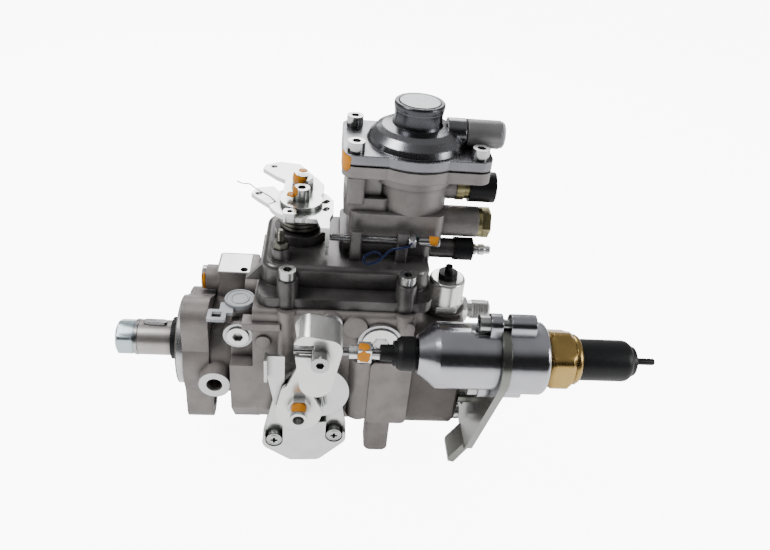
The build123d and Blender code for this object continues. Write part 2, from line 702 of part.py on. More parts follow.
with BuildPart() as delivery_valve_holders:
    for angle in outlet_angles:
        y = outlet_pitch_r * cos(radians(angle))
        z = outlet_pitch_r * sin(radians(angle))
        bar_x(head_end_x - 12, head_end_x, outlet_thread_r, y, z)
        hexagon_x(head_end_x, head_end_x + 8, outlet_flats, y, z)
        bar_x(head_end_x + 8, head_end_x + 10, outlet_thread_r - 1, y, z)
        bar_x(head_end_x + 10, outlet_end_x, outlet_thread_r, y, z)
        bar_x(head_end_x - 12, outlet_end_x, outlet_bore_r, y, z, mode=Mode.SUBTRACT)
        with BuildSketch(Plane(origin=(outlet_end_x, y, z), x_dir=(0, 1, 0), z_dir=(1, 0, 0))):
            Circle(3.4)
        extrude(amount=-2.4, taper=30, mode=Mode.SUBTRACT)
save(delivery_valve_holders.part, "delivery_valve_holders")

# Shut-off solenoid: can, plunger and terminal
with BuildPart() as shutoff_solenoid:
    head_top = head_height / 2 + 2
    bar_z(head_top - 8, head_top, 6.0, solenoid_x, solenoid_y)
    hexagon_z(head_top, head_top + 4, 19.0, solenoid_x, solenoid_y)
    bar_z(head_top + 4, solenoid_top_z - 4, solenoid_r, solenoid_x, solenoid_y)
    fillet(shutoff_solenoid.faces().sort_by(Axis.Z)[-1].edges(), 1.5)
    bar_z(head_top - 8, head_top + 12, 3.2, solenoid_x, solenoid_y, mode=Mode.SUBTRACT)
save(shutoff_solenoid.part, "shutoff_solenoid")

with BuildPart() as solenoid_plunger:
    bar_z(head_top - 7.5, head_top + 9.5, 3.2 - run, solenoid_x, solenoid_y)
save(solenoid_plunger.part, "solenoid_plunger")

# Governor cover: walls over the well, screw columns, a raised pad for the boost unit and the throttle boss
cover_pad_z = 68.0
cover_pad_x = (80.0, 128.0)
stud_y = -14.0
stud_z = 80.0
stud_post_x = (88.0, 111.5)
stop_screw_x = 50.5
stop_screw_y = -16.0
full_load_z = 68.5
full_load_y = 0.0

with BuildPart() as governor_cover:
    block(cover_x, (-cover_half_y, cover_half_y), (deck_z, deck_z + cover_flange_t), corner=7)
    block((cover_x[0] + 1, cover_x[1] - 1), cover_side_y, (deck_z + 4, cover_pad_z), corner=9)
    cover_rim = governor_cover.faces().sort_by(Axis.Z)[-1].edges()
    fillet(cover_rim, 3)
    block(cover_pad_x, (-9, 29), (cover_pad_z - 5, cover_top_z), corner=5)
    bar_z(cover_pad_z - 5, cover_top_z, 13.5, throttle_x, throttle_y)
    bar_z(cover_top_z - 1, throttle_plate_z - 6, 8.0, throttle_x, throttle_y)
    for x, y in cover_screws:
        bar_z(deck_z, cover_seat_z, cover_column_r, x, y)
    for x in stud_post_x:
        block((x - 3, x + 3), (stud_y - 2.5, stud_y + 2.5), (cover_pad_z - 5, stud_z + 5), corner=1)
    bar_z(cover_pad_z - 4, cover_pad_z + 6, 4.5, stop_screw_x, stop_screw_y)
    bar_x(cover_x[1] - 6, cover_x[1] + 13, 5.4, full_load_y, full_load_z)
    with BuildSketch(Plane.XZ.offset(14)):
        with BuildLine():
            Polyline((42, deck_z + 5), (33, deck_z + 5), (42, cover_pad_z - 3), close=True)
        make_face()
    extrude(amount=4)
    # Hollow over the well, shaft bore, boost pin bore and screw holes
    block((gear_x[0] - 0.5, 106), (-21, 27), (deck_z, cover_pad_z - cover_wall), mode=Mode.SUBTRACT, corner=5)
    bar_z(deck_z, throttle_plate_z - 6, throttle_shaft_r + run, throttle_x, throttle_y, mode=Mode.SUBTRACT)
    bar_z(cover_pad_z - 8, cover_top_z, boost_pin_r + 1, boost_x, boost_y, mode=Mode.SUBTRACT)
    for x, y in cover_screws:
        bar_z(deck_z, cover_seat_z, 2.5 + gap, x, y, mode=Mode.SUBTRACT)
        bar_z(cover_seat_z, cover_top_z, 4.8, x, y, mode=Mode.SUBTRACT)
    for x in stud_post_x:
        bar_x(x - 3, x + 3, 2.0 + fit, stud_y, stud_z, mode=Mode.SUBTRACT)
    bar_z(cover_pad_z - 4, cover_pad_z + 6, 2.0 + fit, stop_screw_x, stop_screw_y, mode=Mode.SUBTRACT)
    bar_x(cover_x[1] - 6, cover_x[1] + 13, 3.0 + fit, full_load_y, full_load_z, mode=Mode.SUBTRACT)
save(governor_cover.part, "governor_cover")

# Throttle: shaft with the crank inside the cover, lever plates, nut, bolt and return spring outside
crank_z = (55.0, 58.0)
plate_z = (throttle_plate_z - throttle_plate_t / 2, throttle_plate_z + throttle_plate_t / 2)
upper_plate_z = (plate_z[1], plate_z[1] + throttle_plate_t)
stud_nut_x = 59.6
stud_nut_y = 19.3
shaft_screw_r = 2.0

with BuildPart() as throttle_shaft:
    bar_z(crank_z[0] - 1, plate_z[0], throttle_shaft_r, throttle_x, throttle_y)
    bar_z(plate_z[0], upper_plate_z[1], 3.0, throttle_x, throttle_y)
    with BuildSketch(Plane.XY.offset(crank_z[0])):
        with Locations((throttle_x, throttle_y)):
            Circle(7.5)
        with Locations((crank_x, crank_y)):
            Circle(3.5)
        make_hull()
    extrude(amount=crank_z[1] - crank_z[0])
    bar_z(crank_pin_z, crank_z[0], 1.5, crank_x, crank_y)
    bar_z(upper_plate_z[1] - 8, upper_plate_z[1], shaft_screw_r, throttle_x, throttle_y, mode=Mode.SUBTRACT)
save(throttle_shaft.part, "throttle_shaft")

with BuildPart() as throttle_lever:
    with BuildSketch(Plane.XY.offset(plate_z[0])) as lower_plate:
        with Locations((throttle_x, throttle_y)):
            Circle(throttle_disc_r)
        with BuildLine():
            Polyline((44, 24), (35.5, 21.5), (33, 15), (36.5, 10.5), (46, 0), (56, 4), close=True)
        make_face()
        with BuildLine():
            Polyline((56, throttle_y), (57, -9.6), (68, -9.6), (70, -18), (74.4, -18), (74.4, -8), (76.2, -2), (76.2, 12),
                     close=True)
        make_face()
        with Locations((36.8, 15)):
            Circle(1.8, mode=Mode.SUBTRACT)
        with Locations((stud_nut_x, stud_nut_y)):
            Circle(2.5, mode=Mode.SUBTRACT)
        with Locations((throttle_x, throttle_y)):
            Circle(3.0, mode=Mode.SUBTRACT)
        with Locations((72.4, 9.5), (72.4, 1.5)):
            SlotOverall(5, 3, rotation=60, mode=Mode.SUBTRACT)
    extrude(amount=throttle_plate_t)
    block((51, 57.5), (-10.2, -4.4), (plate_z[0], upper_plate_z[1]), corner=1.5)
    bar_z(plate_z[0], upper_plate_z[1], 1.5, 54.3, -7.2, mode=Mode.SUBTRACT)
    block((72.4, 74.4), (-18, -10), (71.5, plate_z[0]))
    with BuildSketch(Plane.XY.offset(upper_plate_z[0] + 0.02)) as upper_plate:
        with Locations((throttle_x, throttle_y)):
            Circle(11.0)
        with BuildLine():
            Polyline((70, 12), (71, 24), (66, 33), (57, 48), (46, 50), (38, 45), (37, 40), (45, 31), (50, 27), (49.5, 10),
                     close=True)
        make_face()
        fillet(upper_plate.vertices().group_by(Axis.Y)[-1], 2)
        with Locations((42.8, 43.3)):
            Circle(1.8, mode=Mode.SUBTRACT)
        with Locations((throttle_x, throttle_y)):
            Circle(3.0, mode=Mode.SUBTRACT)
        with Locations((stud_nut_x, stud_nut_y)):
            Circle(2.5, mode=Mode.SUBTRACT)
    extrude(amount=throttle_plate_t - 0.02)
save(throttle_lever.part, "throttle_lever")

with BuildPart() as throttle_fasteners:
    nut_z = upper_plate_z[1]
    bar_z(nut_z, nut_z + 1.2, 5.6, stud_nut_x, stud_nut_y)
    hexagon_z(nut_z + 1.2, nut_z + 6.4, 9.6, stud_nut_x, stud_nut_y)
    bar_z(plate_z[0], nut_z + 7.6, 2.5, stud_nut_x, stud_nut_y)
    socket_screw(Plane(origin=(throttle_x, throttle_y, nut_z)), 4.25, 6.5, shaft_screw_r, 8, 4.0)
save(throttle_fasteners.part, "throttle_fasteners")

# Boost compensator: housing with its diaphragm chamber, cover, pin and adjusting parts
chamber_r = 16.5
diaphragm_t = 1.0
boost_cover_z = boost_joint_z + diaphragm_t
boost_flange_r = 27.0
bell_z = boost_cover_z + 5.0
feeler_x = 152.0
feeler_y = 5.0
feeler_z = 82.5
vent_x = 139.0
vent_y = 10.0
vent_z = 100.7
vent_ring_x = vent_x + 6.8
vent_cap_x = vent_x + 20.5
nipple_x = boost_x + 24.7
nipple_z = bell_z + 5.6
nipple_r = 7.1
nipple_len = 17.5
port_r = 4.5
port_len = 12.0

with BuildPart() as boost_housing:
    block((84, 133), (-8, 27), (cover_top_z, 91), corner=5)
    block((81, 104), (-5, 22), (88, 98), corner=4)
    block((82, 91), (-6, 8), (95, 109), corner=1.5)
    block((88, 100), (-1.5, 3.5), (95, 110), corner=1)
    bar_z(90, 106, chamber_r + 2.5, boost_x, boost_y)
    bar_z(106, 112, chamber_r + 5, boost_x, boost_y)
    with BuildSketch(Plane.XY.offset(boost_joint_z - boost_flange_t)):
        for x, y in boost_screws:
            with Locations((x, y)):
                Circle(boost_ear_r)
        make_hull()
        with Locations((boost_x, boost_y)):
            Circle(boost_flange_r)
    extrude(amount=boost_flange_t)
    bar_x(120, feeler_x, 8.2, feeler_y, feeler_z)
    bar_x(128, vent_x, 7.0, vent_y, vent_z)
    # Chamber, pin bore and threaded holes
    bar_z(96, boost_joint_z, chamber_r, boost_x, boost_y, mode=Mode.SUBTRACT)
    bar_z(cover_top_z, 96, boost_pin_r + run, boost_x, boost_y, mode=Mode.SUBTRACT)
    for x, y in boost_screws:
        bar_z(boost_joint_z - boost_flange_t, boost_joint_z, 2.5 + fit, x, y, mode=Mode.SUBTRACT)
    bar_x(feeler_x - 12, feeler_x, 5.0 + fit, feeler_y, feeler_z, mode=Mode.SUBTRACT)
    bar_x(vent_x - 7.4, vent_x, 3.5 + fit, vent_y, vent_z, mode=Mode.SUBTRACT)
save(boost_housing.part, "boost_housing")

with BuildPart() as boost_cover:
    with BuildSketch(Plane.XY.offset(boost_cover_z)):
        for x, y in boost_screws:
            with Locations((x, y)):
                Circle(boost_ear_r)
        make_hull()
        with Locations((boost_x, boost_y)):
            Circle(boost_flange_r)
    extrude(amount=5.0)
    with BuildSketch(Plane(origin=(boost_x, boost_y, 0), x_dir=(1, 0, 0), z_dir=(0, -1, 0))):
        with BuildLine():
            Polyline((0, bell_z - 1), (boost_bell_r, bell_z - 1), (boost_bell_r, bell_z), (23.5, bell_z + 3),
                     (20.5, bell_z + 6.5), (17.5, bell_z + 8.2), (12.6, bell_z + 9.2), (11.2, bell_z + 11),
                     (11.2, boost_top_z - 5.5), (12.3, boost_top_z - 4), (12.3, boost_top_z - 1.9),
                     (11.9, boost_top_z - 1.5), (0, boost_top_z - 1.5), close=True)
        make_face()
    revolve(axis=Axis((boost_x, boost_y, 0), (0, 0, 1)))
    bar_x(boost_x + 15, boost_x + 24, 7.2, boost_y, nipple_z)
    # Air chamber over the diaphragm, neck bore, connection bore and screw holes
    bar_z(boost_cover_z, bell_z + 5, 20.0, boost_x, boost_y, mode=Mode.SUBTRACT)
    bar_z(bell_z + 5, boost_top_z - 1.5, 9.0, boost_x, boost_y, mode=Mode.SUBTRACT)
    bar_x(boost_x + 15, boost_x + 24, 4.0, boost_y, nipple_z, mode=Mode.SUBTRACT)
    bar_x(nipple_x - 0.5, nipple_x + nipple_len, nipple_r + fit, boost_y, nipple_z, mode=Mode.SUBTRACT)
    for x, y in boost_screws:
        bar_z(boost_cover_z, bell_z, 2.5 + gap, x, y, mode=Mode.SUBTRACT)
save(boost_cover.part, "boost_cover")

with BuildPart() as boost_cap:
    bar_z(boost_top_z - 1.5, boost_top_z, 9.9, boost_x, boost_y)
    bar_z(boost_top_z - 5, boost_top_z - 1.5, 9.0 - fit, boost_x, boost_y)
save(boost_cap.part, "boost_cap")

with BuildPart() as boost_hose_nipple:
    port_end_x = nipple_x + nipple_len
    bar_x(nipple_x, port_end_x, nipple_r, boost_y, nipple_z)
    chamfer(boost_hose_nipple.faces().sort_by(Axis.X)[-1].edges(), 0.6)
    bar_x(nipple_x - 6, nipple_x, 4.0 - fit, boost_y, nipple_z)
    bar_x(nipple_x - 6, port_end_x, 2.8, boost_y, nipple_z, mode=Mode.SUBTRACT)
    bar_x(port_end_x - port_len, port_end_x, port_r, boost_y, nipple_z, mode=Mode.SUBTRACT)
save(boost_hose_nipple.part, "boost_hose_nipple")

with BuildPart() as boost_diaphragm:
    with BuildSketch(Plane.XY.offset(boost_joint_z)):
        with Locations((boost_x, boost_y)):
            Circle(boost_flange_r)
            Circle(chamber_r - 0.6, mode=Mode.SUBTRACT)
    extrude(amount=diaphragm_t)
save(boost_diaphragm.part, "boost_diaphragm")

plate_r = chamber_r - 0.6 - gap
cam_z = (cover_top_z + 2, cover_top_z + 12)

with BuildPart() as boost_pin:
    bar_z(66, 122.5, boost_pin_r, boost_x, boost_y)
    with BuildSketch(Plane(origin=(boost_x, boost_y, 0), x_dir=(1, 0, 0), z_dir=(0, -1, 0))):
        with BuildLine():
            Polyline((boost_pin_r - 1.4, cam_z[0]), (boost_pin_r + 2, cam_z[0]), (boost_pin_r + 2, cam_z[1]),
                     (boost_pin_r, cam_z[1]), close=True)
        make_face()
    revolve(axis=Axis((boost_x, boost_y, 0), (0, 0, 1)), mode=Mode.SUBTRACT)
    with BuildSketch(Plane(origin=(boost_x, boost_y, 0), x_dir=(1, 0, 0), z_dir=(0, -1, 0))):
        with BuildLine():
            Polyline((boost_pin_r, boost_joint_z - 2), (plate_r, boost_joint_z - 2), (plate_r, boost_joint_z),
                     (plate_r - 3, boost_joint_z), (plate_r - 3, boost_joint_z + diaphragm_t),
                     (plate_r, boost_joint_z + diaphragm_t), (plate_r, boost_joint_z + diaphragm_t + 2),
                     (boost_pin_r, boost_joint_z + diaphragm_t + 2), close=True)
        make_face()
    revolve(axis=Axis((boost_x, boost_y, 0), (0, 0, 1)))
save(boost_pin.part, "boost_pin")

with BuildPart() as boost_spring:
    spring((boost_x, boost_y, 96.9), (0, 0, 1), 11.0, 1.8, boost_joint_z - 2 - 96, 4)
save(boost_spring.part, "boost_spring")

# Cold-start mechanism: cover with two screw pockets, stop disc, shaft, lever and the rod's clamp
cover_face_y = -body_half_y - 5.5
base_face_y = cover_face_y - 4.5
disc_x = 71.0
disc_z = 4.0
disc_r = 17.6
disc_t = 2.3
lever_back_y = base_face_y - 0.5
lever_front_y = lever_back_y - cold_plate_t
face_back_y = rod_y - rod_r - gap
face_front_y = face_back_y - 2.0
rim_t = 1.8
clamp_x = 72.5
clamp_z = rod_z
clamp_r = 4.4
clamp_end_y = rod_y - 11
pivot_sleeve_y = lever_front_y - 11.5
# Lever: its lobe on the pivot, its neck and its head round the rod, each as X, Z, radius
lobe_ends = [(cold_x - 0.4, cold_z - 6.5, 12.0), (cold_x - 2, cold_z + 6, 8.0)]
neck_ends = [(cold_x - 2, cold_z + 6, 6.5), (71.0, 28.0, 8.0)]
head_ends = [(66.2, rod_z + 5.2, 6.2), (76.4, rod_z + 3, 6.4), (71.0, 28.0, 8.0)]

with BuildPart() as cold_start_cover:
    with BuildSketch(Plane.XZ.offset(body_half_y)):
        for x, z, radius in ((49.8, -31, 6.5), (82.1, -26.5, 6.5), (60, -40, 5), (72, -39.5, 5), (cold_x, cold_z, 13),
                             (disc_x, disc_z, 13)):
            with Locations((x, z)):
                Circle(radius)
        make_hull()
    extrude(amount=5.5)
    with BuildSketch(Plane.XZ.offset(-cover_face_y)):
        for x, z, radius in ((49.8, -31, 6.5), (82.1, -26.5, 6.5), (60, -40, 5), (72, -39.5, 5), (54, -21, 3),
                             (78, -18, 3)):
            with Locations((x, z)):
                Circle(radius)
        make_hull()
    extrude(amount=4.5)
    for x, z in cold_screws:
        with BuildSketch(Plane.XZ.offset(-cover_face_y)):
            with Locations((x, z)):
                Circle(4.7)
            with Locations((x, z + 16)):
                Circle(4.7)
            make_hull()
        extrude(amount=4.5, mode=Mode.SUBTRACT)
        bar_y(cover_face_y, -body_half_y, 2.5 + gap, x, z, mode=Mode.SUBTRACT)
    bar_y(cover_face_y, -body_half_y, cold_shaft_r + run, cold_x, cold_z, mode=Mode.SUBTRACT)
save(cold_start_cover.part, "cold_start_cover")

# Stop disc, and on it the bent stop plate beside the lever
with BuildPart() as stop_disc:
    bar_y(cover_face_y, cover_face_y - disc_t, disc_r, disc_x, disc_z)
    bar_y(cover_face_y, cover_face_y - disc_t, cold_shaft_r + 1, cold_x, cold_z, mode=Mode.SUBTRACT)
    with BuildSketch(Plane.XZ.offset(disc_t + 0.02 - cover_face_y)):
        with BuildLine():
            Polyline((46, 29), (55, 29), (55, 17), (55, 0), (50, -5), (46, 17), close=True)
        make_face()
    extrude(amount=1.5)
    block((45, 46.5), (cover_face_y - disc_t - 6.5, cover_face_y - disc_t - 0.02), (16, 30))
save(stop_disc.part, "stop_disc")

with BuildPart() as cold_start_shaft:
    bar_y(-cavity_r - gap, lever_back_y, cold_shaft_r, cold_x, cold_z)
    bar_y(cover_face_y - disc_t - gap, lever_back_y, 7.5, cold_x, cold_z)
    bar_y(lever_back_y, lever_front_y - 6, 3.0, cold_x, cold_z)
    bar_y(-cavity_r + 2.3, -cavity_r - gap, 1.2, cold_x, cold_z - 3.5)
save(cold_start_shaft.part, "cold_start_shaft")


def hull_xz(y, circles, thickness):
    """Plate across Y whose outline wraps circles given as X, Z and radius."""
    with BuildSketch(Plane.XZ.offset(-y)) as profile:
        for x, z, radius in circles:
            with Locations((x, z)):
                Circle(radius)
        make_hull()
    extrude(profile.sketch, amount=thickness)


# Lever: back plate on the pivot, rim along its top and right edge, front plate that forks round the rod's end
with BuildPart() as cold_start_lever:
    hull_xz(lever_back_y, lobe_ends, cold_plate_t)
    hull_xz(lever_back_y, neck_ends, cold_plate_t)
    hull_xz(lever_back_y, head_ends, cold_plate_t)
    with BuildSketch(Plane.XZ.offset(-lever_front_y)) as rim:
        for x, z, radius in head_ends:
            with Locations((x, z)):
                Circle(radius)
        make_hull()
        offset(amount=-rim_t, mode=Mode.SUBTRACT)
        with Locations((71.0, 30)):
            Rectangle(30, 20, mode=Mode.SUBTRACT)
        with Locations((58.0, 45)):
            Rectangle(13, 22, mode=Mode.SUBTRACT)
    extrude(amount=lever_front_y - face_back_y)
    hull_xz(face_back_y, head_ends, face_back_y - face_front_y)
    block((54, clamp_x - 3), (face_front_y, face_back_y), (rod_z - 1.2, rod_z + 6.2), mode=Mode.SUBTRACT)
    block((78, 86), (face_back_y, rod_y + rod_r + gap), (rod_z - 3.7, rod_z + 3.7), mode=Mode.SUBTRACT)
    bar_y(lever_back_y, lever_front_y, 3.0, cold_x, cold_z, mode=Mode.SUBTRACT)
    bar_y(lever_back_y, lever_front_y, 3.0, clamp_x, clamp_z, mode=Mode.SUBTRACT)
    bar_y(face_back_y, face_front_y, clamp_r + fit, clamp_x, clamp_z, mode=Mode.SUBTRACT)
save(cold_start_lever.part, "cold_start_lever")

with BuildPart() as cold_start_nut:
    with BuildSketch(Plane.XZ.offset(-lever_front_y)):
        with Locations((cold_x, cold_z)):
            RegularPolygon(5.2, 6, major_radius=False)
    extrude(amount=4.0)
    bar_y(lever_front_y - 4, pivot_sleeve_y, 4.6, cold_x, cold_z)
    bar_y(lever_front_y, pivot_sleeve_y, 3.0, cold_x, cold_z, mode=Mode.SUBTRACT)
save(cold_start_nut.part, "cold_start_nut")

with BuildPart() as rod_clamp:
    bar_y(lever_back_y, lever_front_y, 3.0, clamp_x, clamp_z)
    bar_y(lever_front_y, clamp_end_y, clamp_r, clamp_x, clamp_z)
    bar_x(clamp_x - 6, clamp_x + 6, rod_r + 1.2, rod_y, rod_z, mode=Mode.SUBTRACT)
    with BuildSketch(Plane.XZ.offset(-clamp_end_y)):
        with Locations((clamp_x, clamp_z)):
            RegularPolygon(1.8, 6, major_radius=False)
    extrude(amount=-2.0, mode=Mode.SUBTRACT)
save(rod_clamp.part, "rod_clamp")

# Cold-start actuator: rod with its sleeve and stop, boot, front body with the spring, bracket, rear body,
# wax element with the heater and terminal cap
act_front_end_x = 150.5
piston_x = (act_front_x + 13.7, act_front_x + 19.7)
piston_r = 9.9
rod_end_x = 60.0
rod_sleeve_x = (86.0, 90.0)
rod_stop_x = (90.1, 96.5)
ear_dz = 19.5
ear_r = 5.2

with BuildPart() as actuator_rod:
    bar_x(rod_end_x, piston_x[0], rod_r, rod_y, rod_z)
    bar_x(piston_x[0], piston_x[1], piston_r, rod_y, rod_z)
    bar_x(piston_x[1], act_rear_x[0] + 1, 3.0, rod_y, rod_z)
save(actuator_rod.part, "actuator_rod")

with BuildPart() as rod_fittings:
    bar_x(rod_sleeve_x[0], rod_sleeve_x[1], 3.4, rod_y, rod_z)
    block(rod_stop_x, (rod_y - 3.6, rod_y + 3.6), (rod_z - 3.6, rod_z + 3.6))
    bar_x(rod_sleeve_x[0], rod_stop_x[1], rod_r, rod_y, rod_z, mode=Mode.SUBTRACT)
save(rod_fittings.part, "rod_fittings")

neck_x = act_front_x - 9.7
boot_seat_r = 5.2
boot_seat_len = 3.0

with BuildPart() as rod_boot:
    with BuildSketch(Plane(origin=(0, rod_y, rod_z), x_dir=(1, 0, 0), z_dir=(0, -1, 0))):
        with BuildLine():
            Polyline((boot_front_x, rod_r + gap), (boot_front_x, 4.0), (neck_x - 2, 4.2), (neck_x - 1.6, 6.0),
                     (neck_x - 0.2, 6.2), (neck_x + 0.2, 7.2), (neck_x + 2, 8.2), (act_front_x - 2, 8.4),
                     (act_front_x - 0.3, 7.6), (act_front_x, 7.4), (act_front_x, boot_seat_r),
                     (act_front_x + boot_seat_len, boot_seat_r), (act_front_x + boot_seat_len, rod_r + 1.2),
                     (neck_x + 1, rod_r + 1.2), (neck_x, rod_r + gap), close=True)
        make_face()
    revolve(axis=Axis((0, rod_y, rod_z), (1, 0, 0)))
save(rod_boot.part, "rod_boot")


def ear_plate(x0, thickness, body_r):
    """Plate across the actuator's axis with an ear above and an ear below the body."""
    with BuildSketch(Plane.YZ.offset(x0)) as profile:
        for side in (-1, 1):
            with Locations((rod_y, rod_z + side * ear_dz)):
                Circle(ear_r)
        make_hull()
        with Locations((rod_y, rod_z)):
            Circle(body_r)
    extrude(profile.sketch, amount=thickness)


with BuildPart() as actuator_front:
    with BuildSketch(Plane(origin=(0, rod_y, rod_z), x_dir=(1, 0, 0), z_dir=(0, -1, 0))):
        with BuildLine():
            Polyline((act_front_x, 0), (act_front_x, act_nose_r), (act_front_x + 7, act_front_r - 1.4),
                     (act_front_x + 9, act_front_r), (act_front_end_x, act_front_r), (act_front_end_x, 0), close=True)
        make_face()
    revolve(axis=Axis((0, rod_y, rod_z), (1, 0, 0)))
    ear_plate(act_front_end_x, act_bracket_x - act_front_end_x, act_front_r)
    bar_x(act_front_x, act_front_x + boot_seat_len, boot_seat_r + fit, rod_y, rod_z, mode=Mode.SUBTRACT)
    bar_x(act_front_x + boot_seat_len, piston_x[0] - 2, rod_r + 1.2, rod_y, rod_z, mode=Mode.SUBTRACT)
    bar_x(piston_x[0] - 2, act_bracket_x, piston_r + run, rod_y, rod_z, mode=Mode.SUBTRACT)
    for side in (-1, 1):
        bar_x(act_front_end_x - 8, act_front_end_x, 4.7, rod_y, rod_z + side * ear_dz, mode=Mode.SUBTRACT)
        bar_x(act_front_end_x, act_bracket_x, 2.5 + gap, rod_y, rod_z + side * ear_dz, mode=Mode.SUBTRACT)
save(actuator_front.part, "actuator_front")

with BuildPart() as actuator_bracket:
    with BuildSketch(Plane.YZ.offset(act_bracket_x)):
        with Locations((rod_y, rod_z)):
            Circle(18.5)
        with Locations((-41, -29)):
            Circle(8)
        make_hull()
        with BuildLine():
            Polyline((-33, 0), (-25, -1), (-24.5, -8), (0, -20.5), (6, -24), (6, -31), (0, -33), (-20, -36),
                     (-40, -36), (-48, -10), close=True)
        make_face()
        with Locations((rod_y, rod_z)):
            Circle(7.3, mode=Mode.SUBTRACT)
            for side in (-1, 1):
                with Locations((0, side * ear_dz)):
                    Circle(2.5 + gap, mode=Mode.SUBTRACT)
        with Locations((-outlet_pitch_r * cos(radians(45)), -outlet_pitch_r * sin(radians(45)))):
            Circle(outlet_flats * 0.66, mode=Mode.SUBTRACT)
    extrude(amount=bracket_t)
    # Foot bent forward under the head
    with BuildSketch(Plane.XZ.offset(28)):
        with BuildLine():
            Polyline((160, -30), (160, -35), (152, -49), (148.5, -48), (148.5, -45), (156, -33), (156, -30), close=True)
        make_face()
    extrude(amount=16)
    for y, z in bracket_bolts:
        bar_x(head_end_x, act_bracket_x, 4.5, y, z)
    for y, z in bracket_bolts:
        bar_x(head_end_x, act_bracket_x + bracket_t, head_bolt_r + gap, y, z, mode=Mode.SUBTRACT)
save(actuator_bracket.part, "actuator_bracket")

with BuildPart() as actuator_rear:
    bar_x(act_rear_x[0], act_rear_x[1], act_rear_r, rod_y, rod_z)
    fillet(actuator_rear.faces().sort_by(Axis.X)[-1].edges(), 2.5)
    ear_plate(act_rear_x[0], 12, act_rear_r)
    bar_x(act_rear_x[0], act_rear_x[1], 7.3, rod_y, rod_z, mode=Mode.SUBTRACT)
    for side in (-1, 1):
        bar_x(act_rear_x[0], act_rear_x[0] + 12, 2.5 + fit, rod_y, rod_z + side * ear_dz, mode=Mode.SUBTRACT)
save(actuator_rear.part, "actuator_rear")

with BuildPart() as wax_element:
    hexagon_x(act_rear_x[1], act_rear_x[1] + 13.5, wax_flats, rod_y, rod_z)
    with BuildSketch(Plane.YZ.offset(act_rear_x[1])):
        with Locations((rod_y, rod_z)):
            Circle(wax_flats / 2 + 1.3)
    extrude(amount=13.5, mode=Mode.INTERSECT)
    bar_x(act_rear_x[0] + 5, act_rear_x[1], 7.3 - fit, rod_y, rod_z)
    bar_x(act_rear_x[1] + 13.5, wax_end_x, 12.0, rod_y, rod_z)
    bar_x(wax_end_x, pin_end_x, 1.7, rod_y, rod_z)
save(wax_element.part, "wax_element")

with BuildPart() as terminal_cap:
    bar_x(wax_end_x, cap_end_x, cap_r, rod_y, rod_z)
    fillet(terminal_cap.faces().sort_by(Axis.X)[-1].edges(), 2)
    bar_x(wax_end_x, cap_end_x, 1.7, rod_y, rod_z, mode=Mode.SUBTRACT)
save(terminal_cap.part, "terminal_cap")

# Inlet cap, pressure regulating valve and the socket screw behind it
with BuildPart() as inlet_port_cap:
    bar_z(inlet_top_z, inlet_top_z + 2.5, inlet_cap_r, inlet_x, inlet_y)
    block((14.5, 24), (-33, -24), (inlet_top_z, inlet_top_z + 1.6), corner=1)
    block((20, 27), (-27, -18), (inlet_top_z, inlet_top_z + 1.6))
    block((16.7, 21.5), (-30.6, -26.2), (inlet_top_z, inlet_top_z + 1.6), mode=Mode.SUBTRACT)
    bar_z(inlet_top_z - 8, inlet_top_z, 5.5, inlet_x, inlet_y)
    bar_z(inlet_top_z - 8, inlet_top_z + 1, 4.0, inlet_x, inlet_y, mode=Mode.SUBTRACT)
save(inlet_port_cap.part, "inlet_port_cap")

with BuildPart() as regulating_valve:
    bar_x(9, 29, 4.5, valve_axis_y, valve_axis_z)
    bar_x(6.5, 9, 6.4, valve_axis_y, valve_axis_z)
    hexagon_x(6.5, 8.7, 6.0, valve_axis_y, valve_axis_z, mode=Mode.SUBTRACT)
save(regulating_valve.part, "regulating_valve")

# Springs and the plunger springs' seat plate
with BuildPart() as springs:
    spring_len = timing_boss_far_y - 3 - timing_piston_len / 2 - timing_travel - gap
    spring((timing_x, timing_boss_far_y - 3 - spring_len + 0.6, timing_z), (0, 1, 0), 7.0, 1.2, spring_len, 4)
    with BuildSketch(Plane.YZ.offset(spring_seat_x[0])):
        SlotOverall(2 * spring_pitch_y + 13, 13)
        Circle(10.5)
        Circle(plunger_r + run, mode=Mode.SUBTRACT)
    extrude(amount=spring_seat_x[1] - spring_seat_x[0])
    for side in (-1, 1):
        spring((spring_seat_x[1] + 0.82, side * spring_pitch_y, 0), (1, 0, 0), 4.6, 1.6,
               spigot_start_x - spring_seat_x[1], 4)
    spring((throttle_x, throttle_y, cover_top_z + 0.8), (0, 0, 1), 10.0, 1.6, plate_z[0] - cover_top_z - gap, 4)
    spring((piston_x[1] + 4.5 + 0.8, rod_y, rod_z), (1, 0, 0), 6.6, 1.6, act_bracket_x - piston_x[1] - 4.5, 3)
save(springs.part, "springs")

# Screwed plugs: three in the near face and the one that closes the barrel
with BuildPart() as plugs:
    for plug in (gallery_plug, torx_plug, large_plug):
        head_y = plug[3] - plug_boss_t - 1.2
        bar_y(plug[3] - plug_boss_t + plug_depth, head_y, plug[2], plug[0], plug[1])
        with BuildSketch(Plane.XZ.offset(-head_y)):
            with Locations((plug[0], plug[1])):
                RegularPolygon(plug[2] * 0.45, 6, major_radius=False)
        extrude(amount=-2.5, mode=Mode.SUBTRACT)
    bar_x(barrel_end_x, head_end_x, 7.0)
    hexagon_x(head_end_x, head_end_x + 5, 17.0)
    bar_x(barrel_end_x, barrel_end_x + 3, 4.0, mode=Mode.SUBTRACT)
save(plugs.part, "plugs")

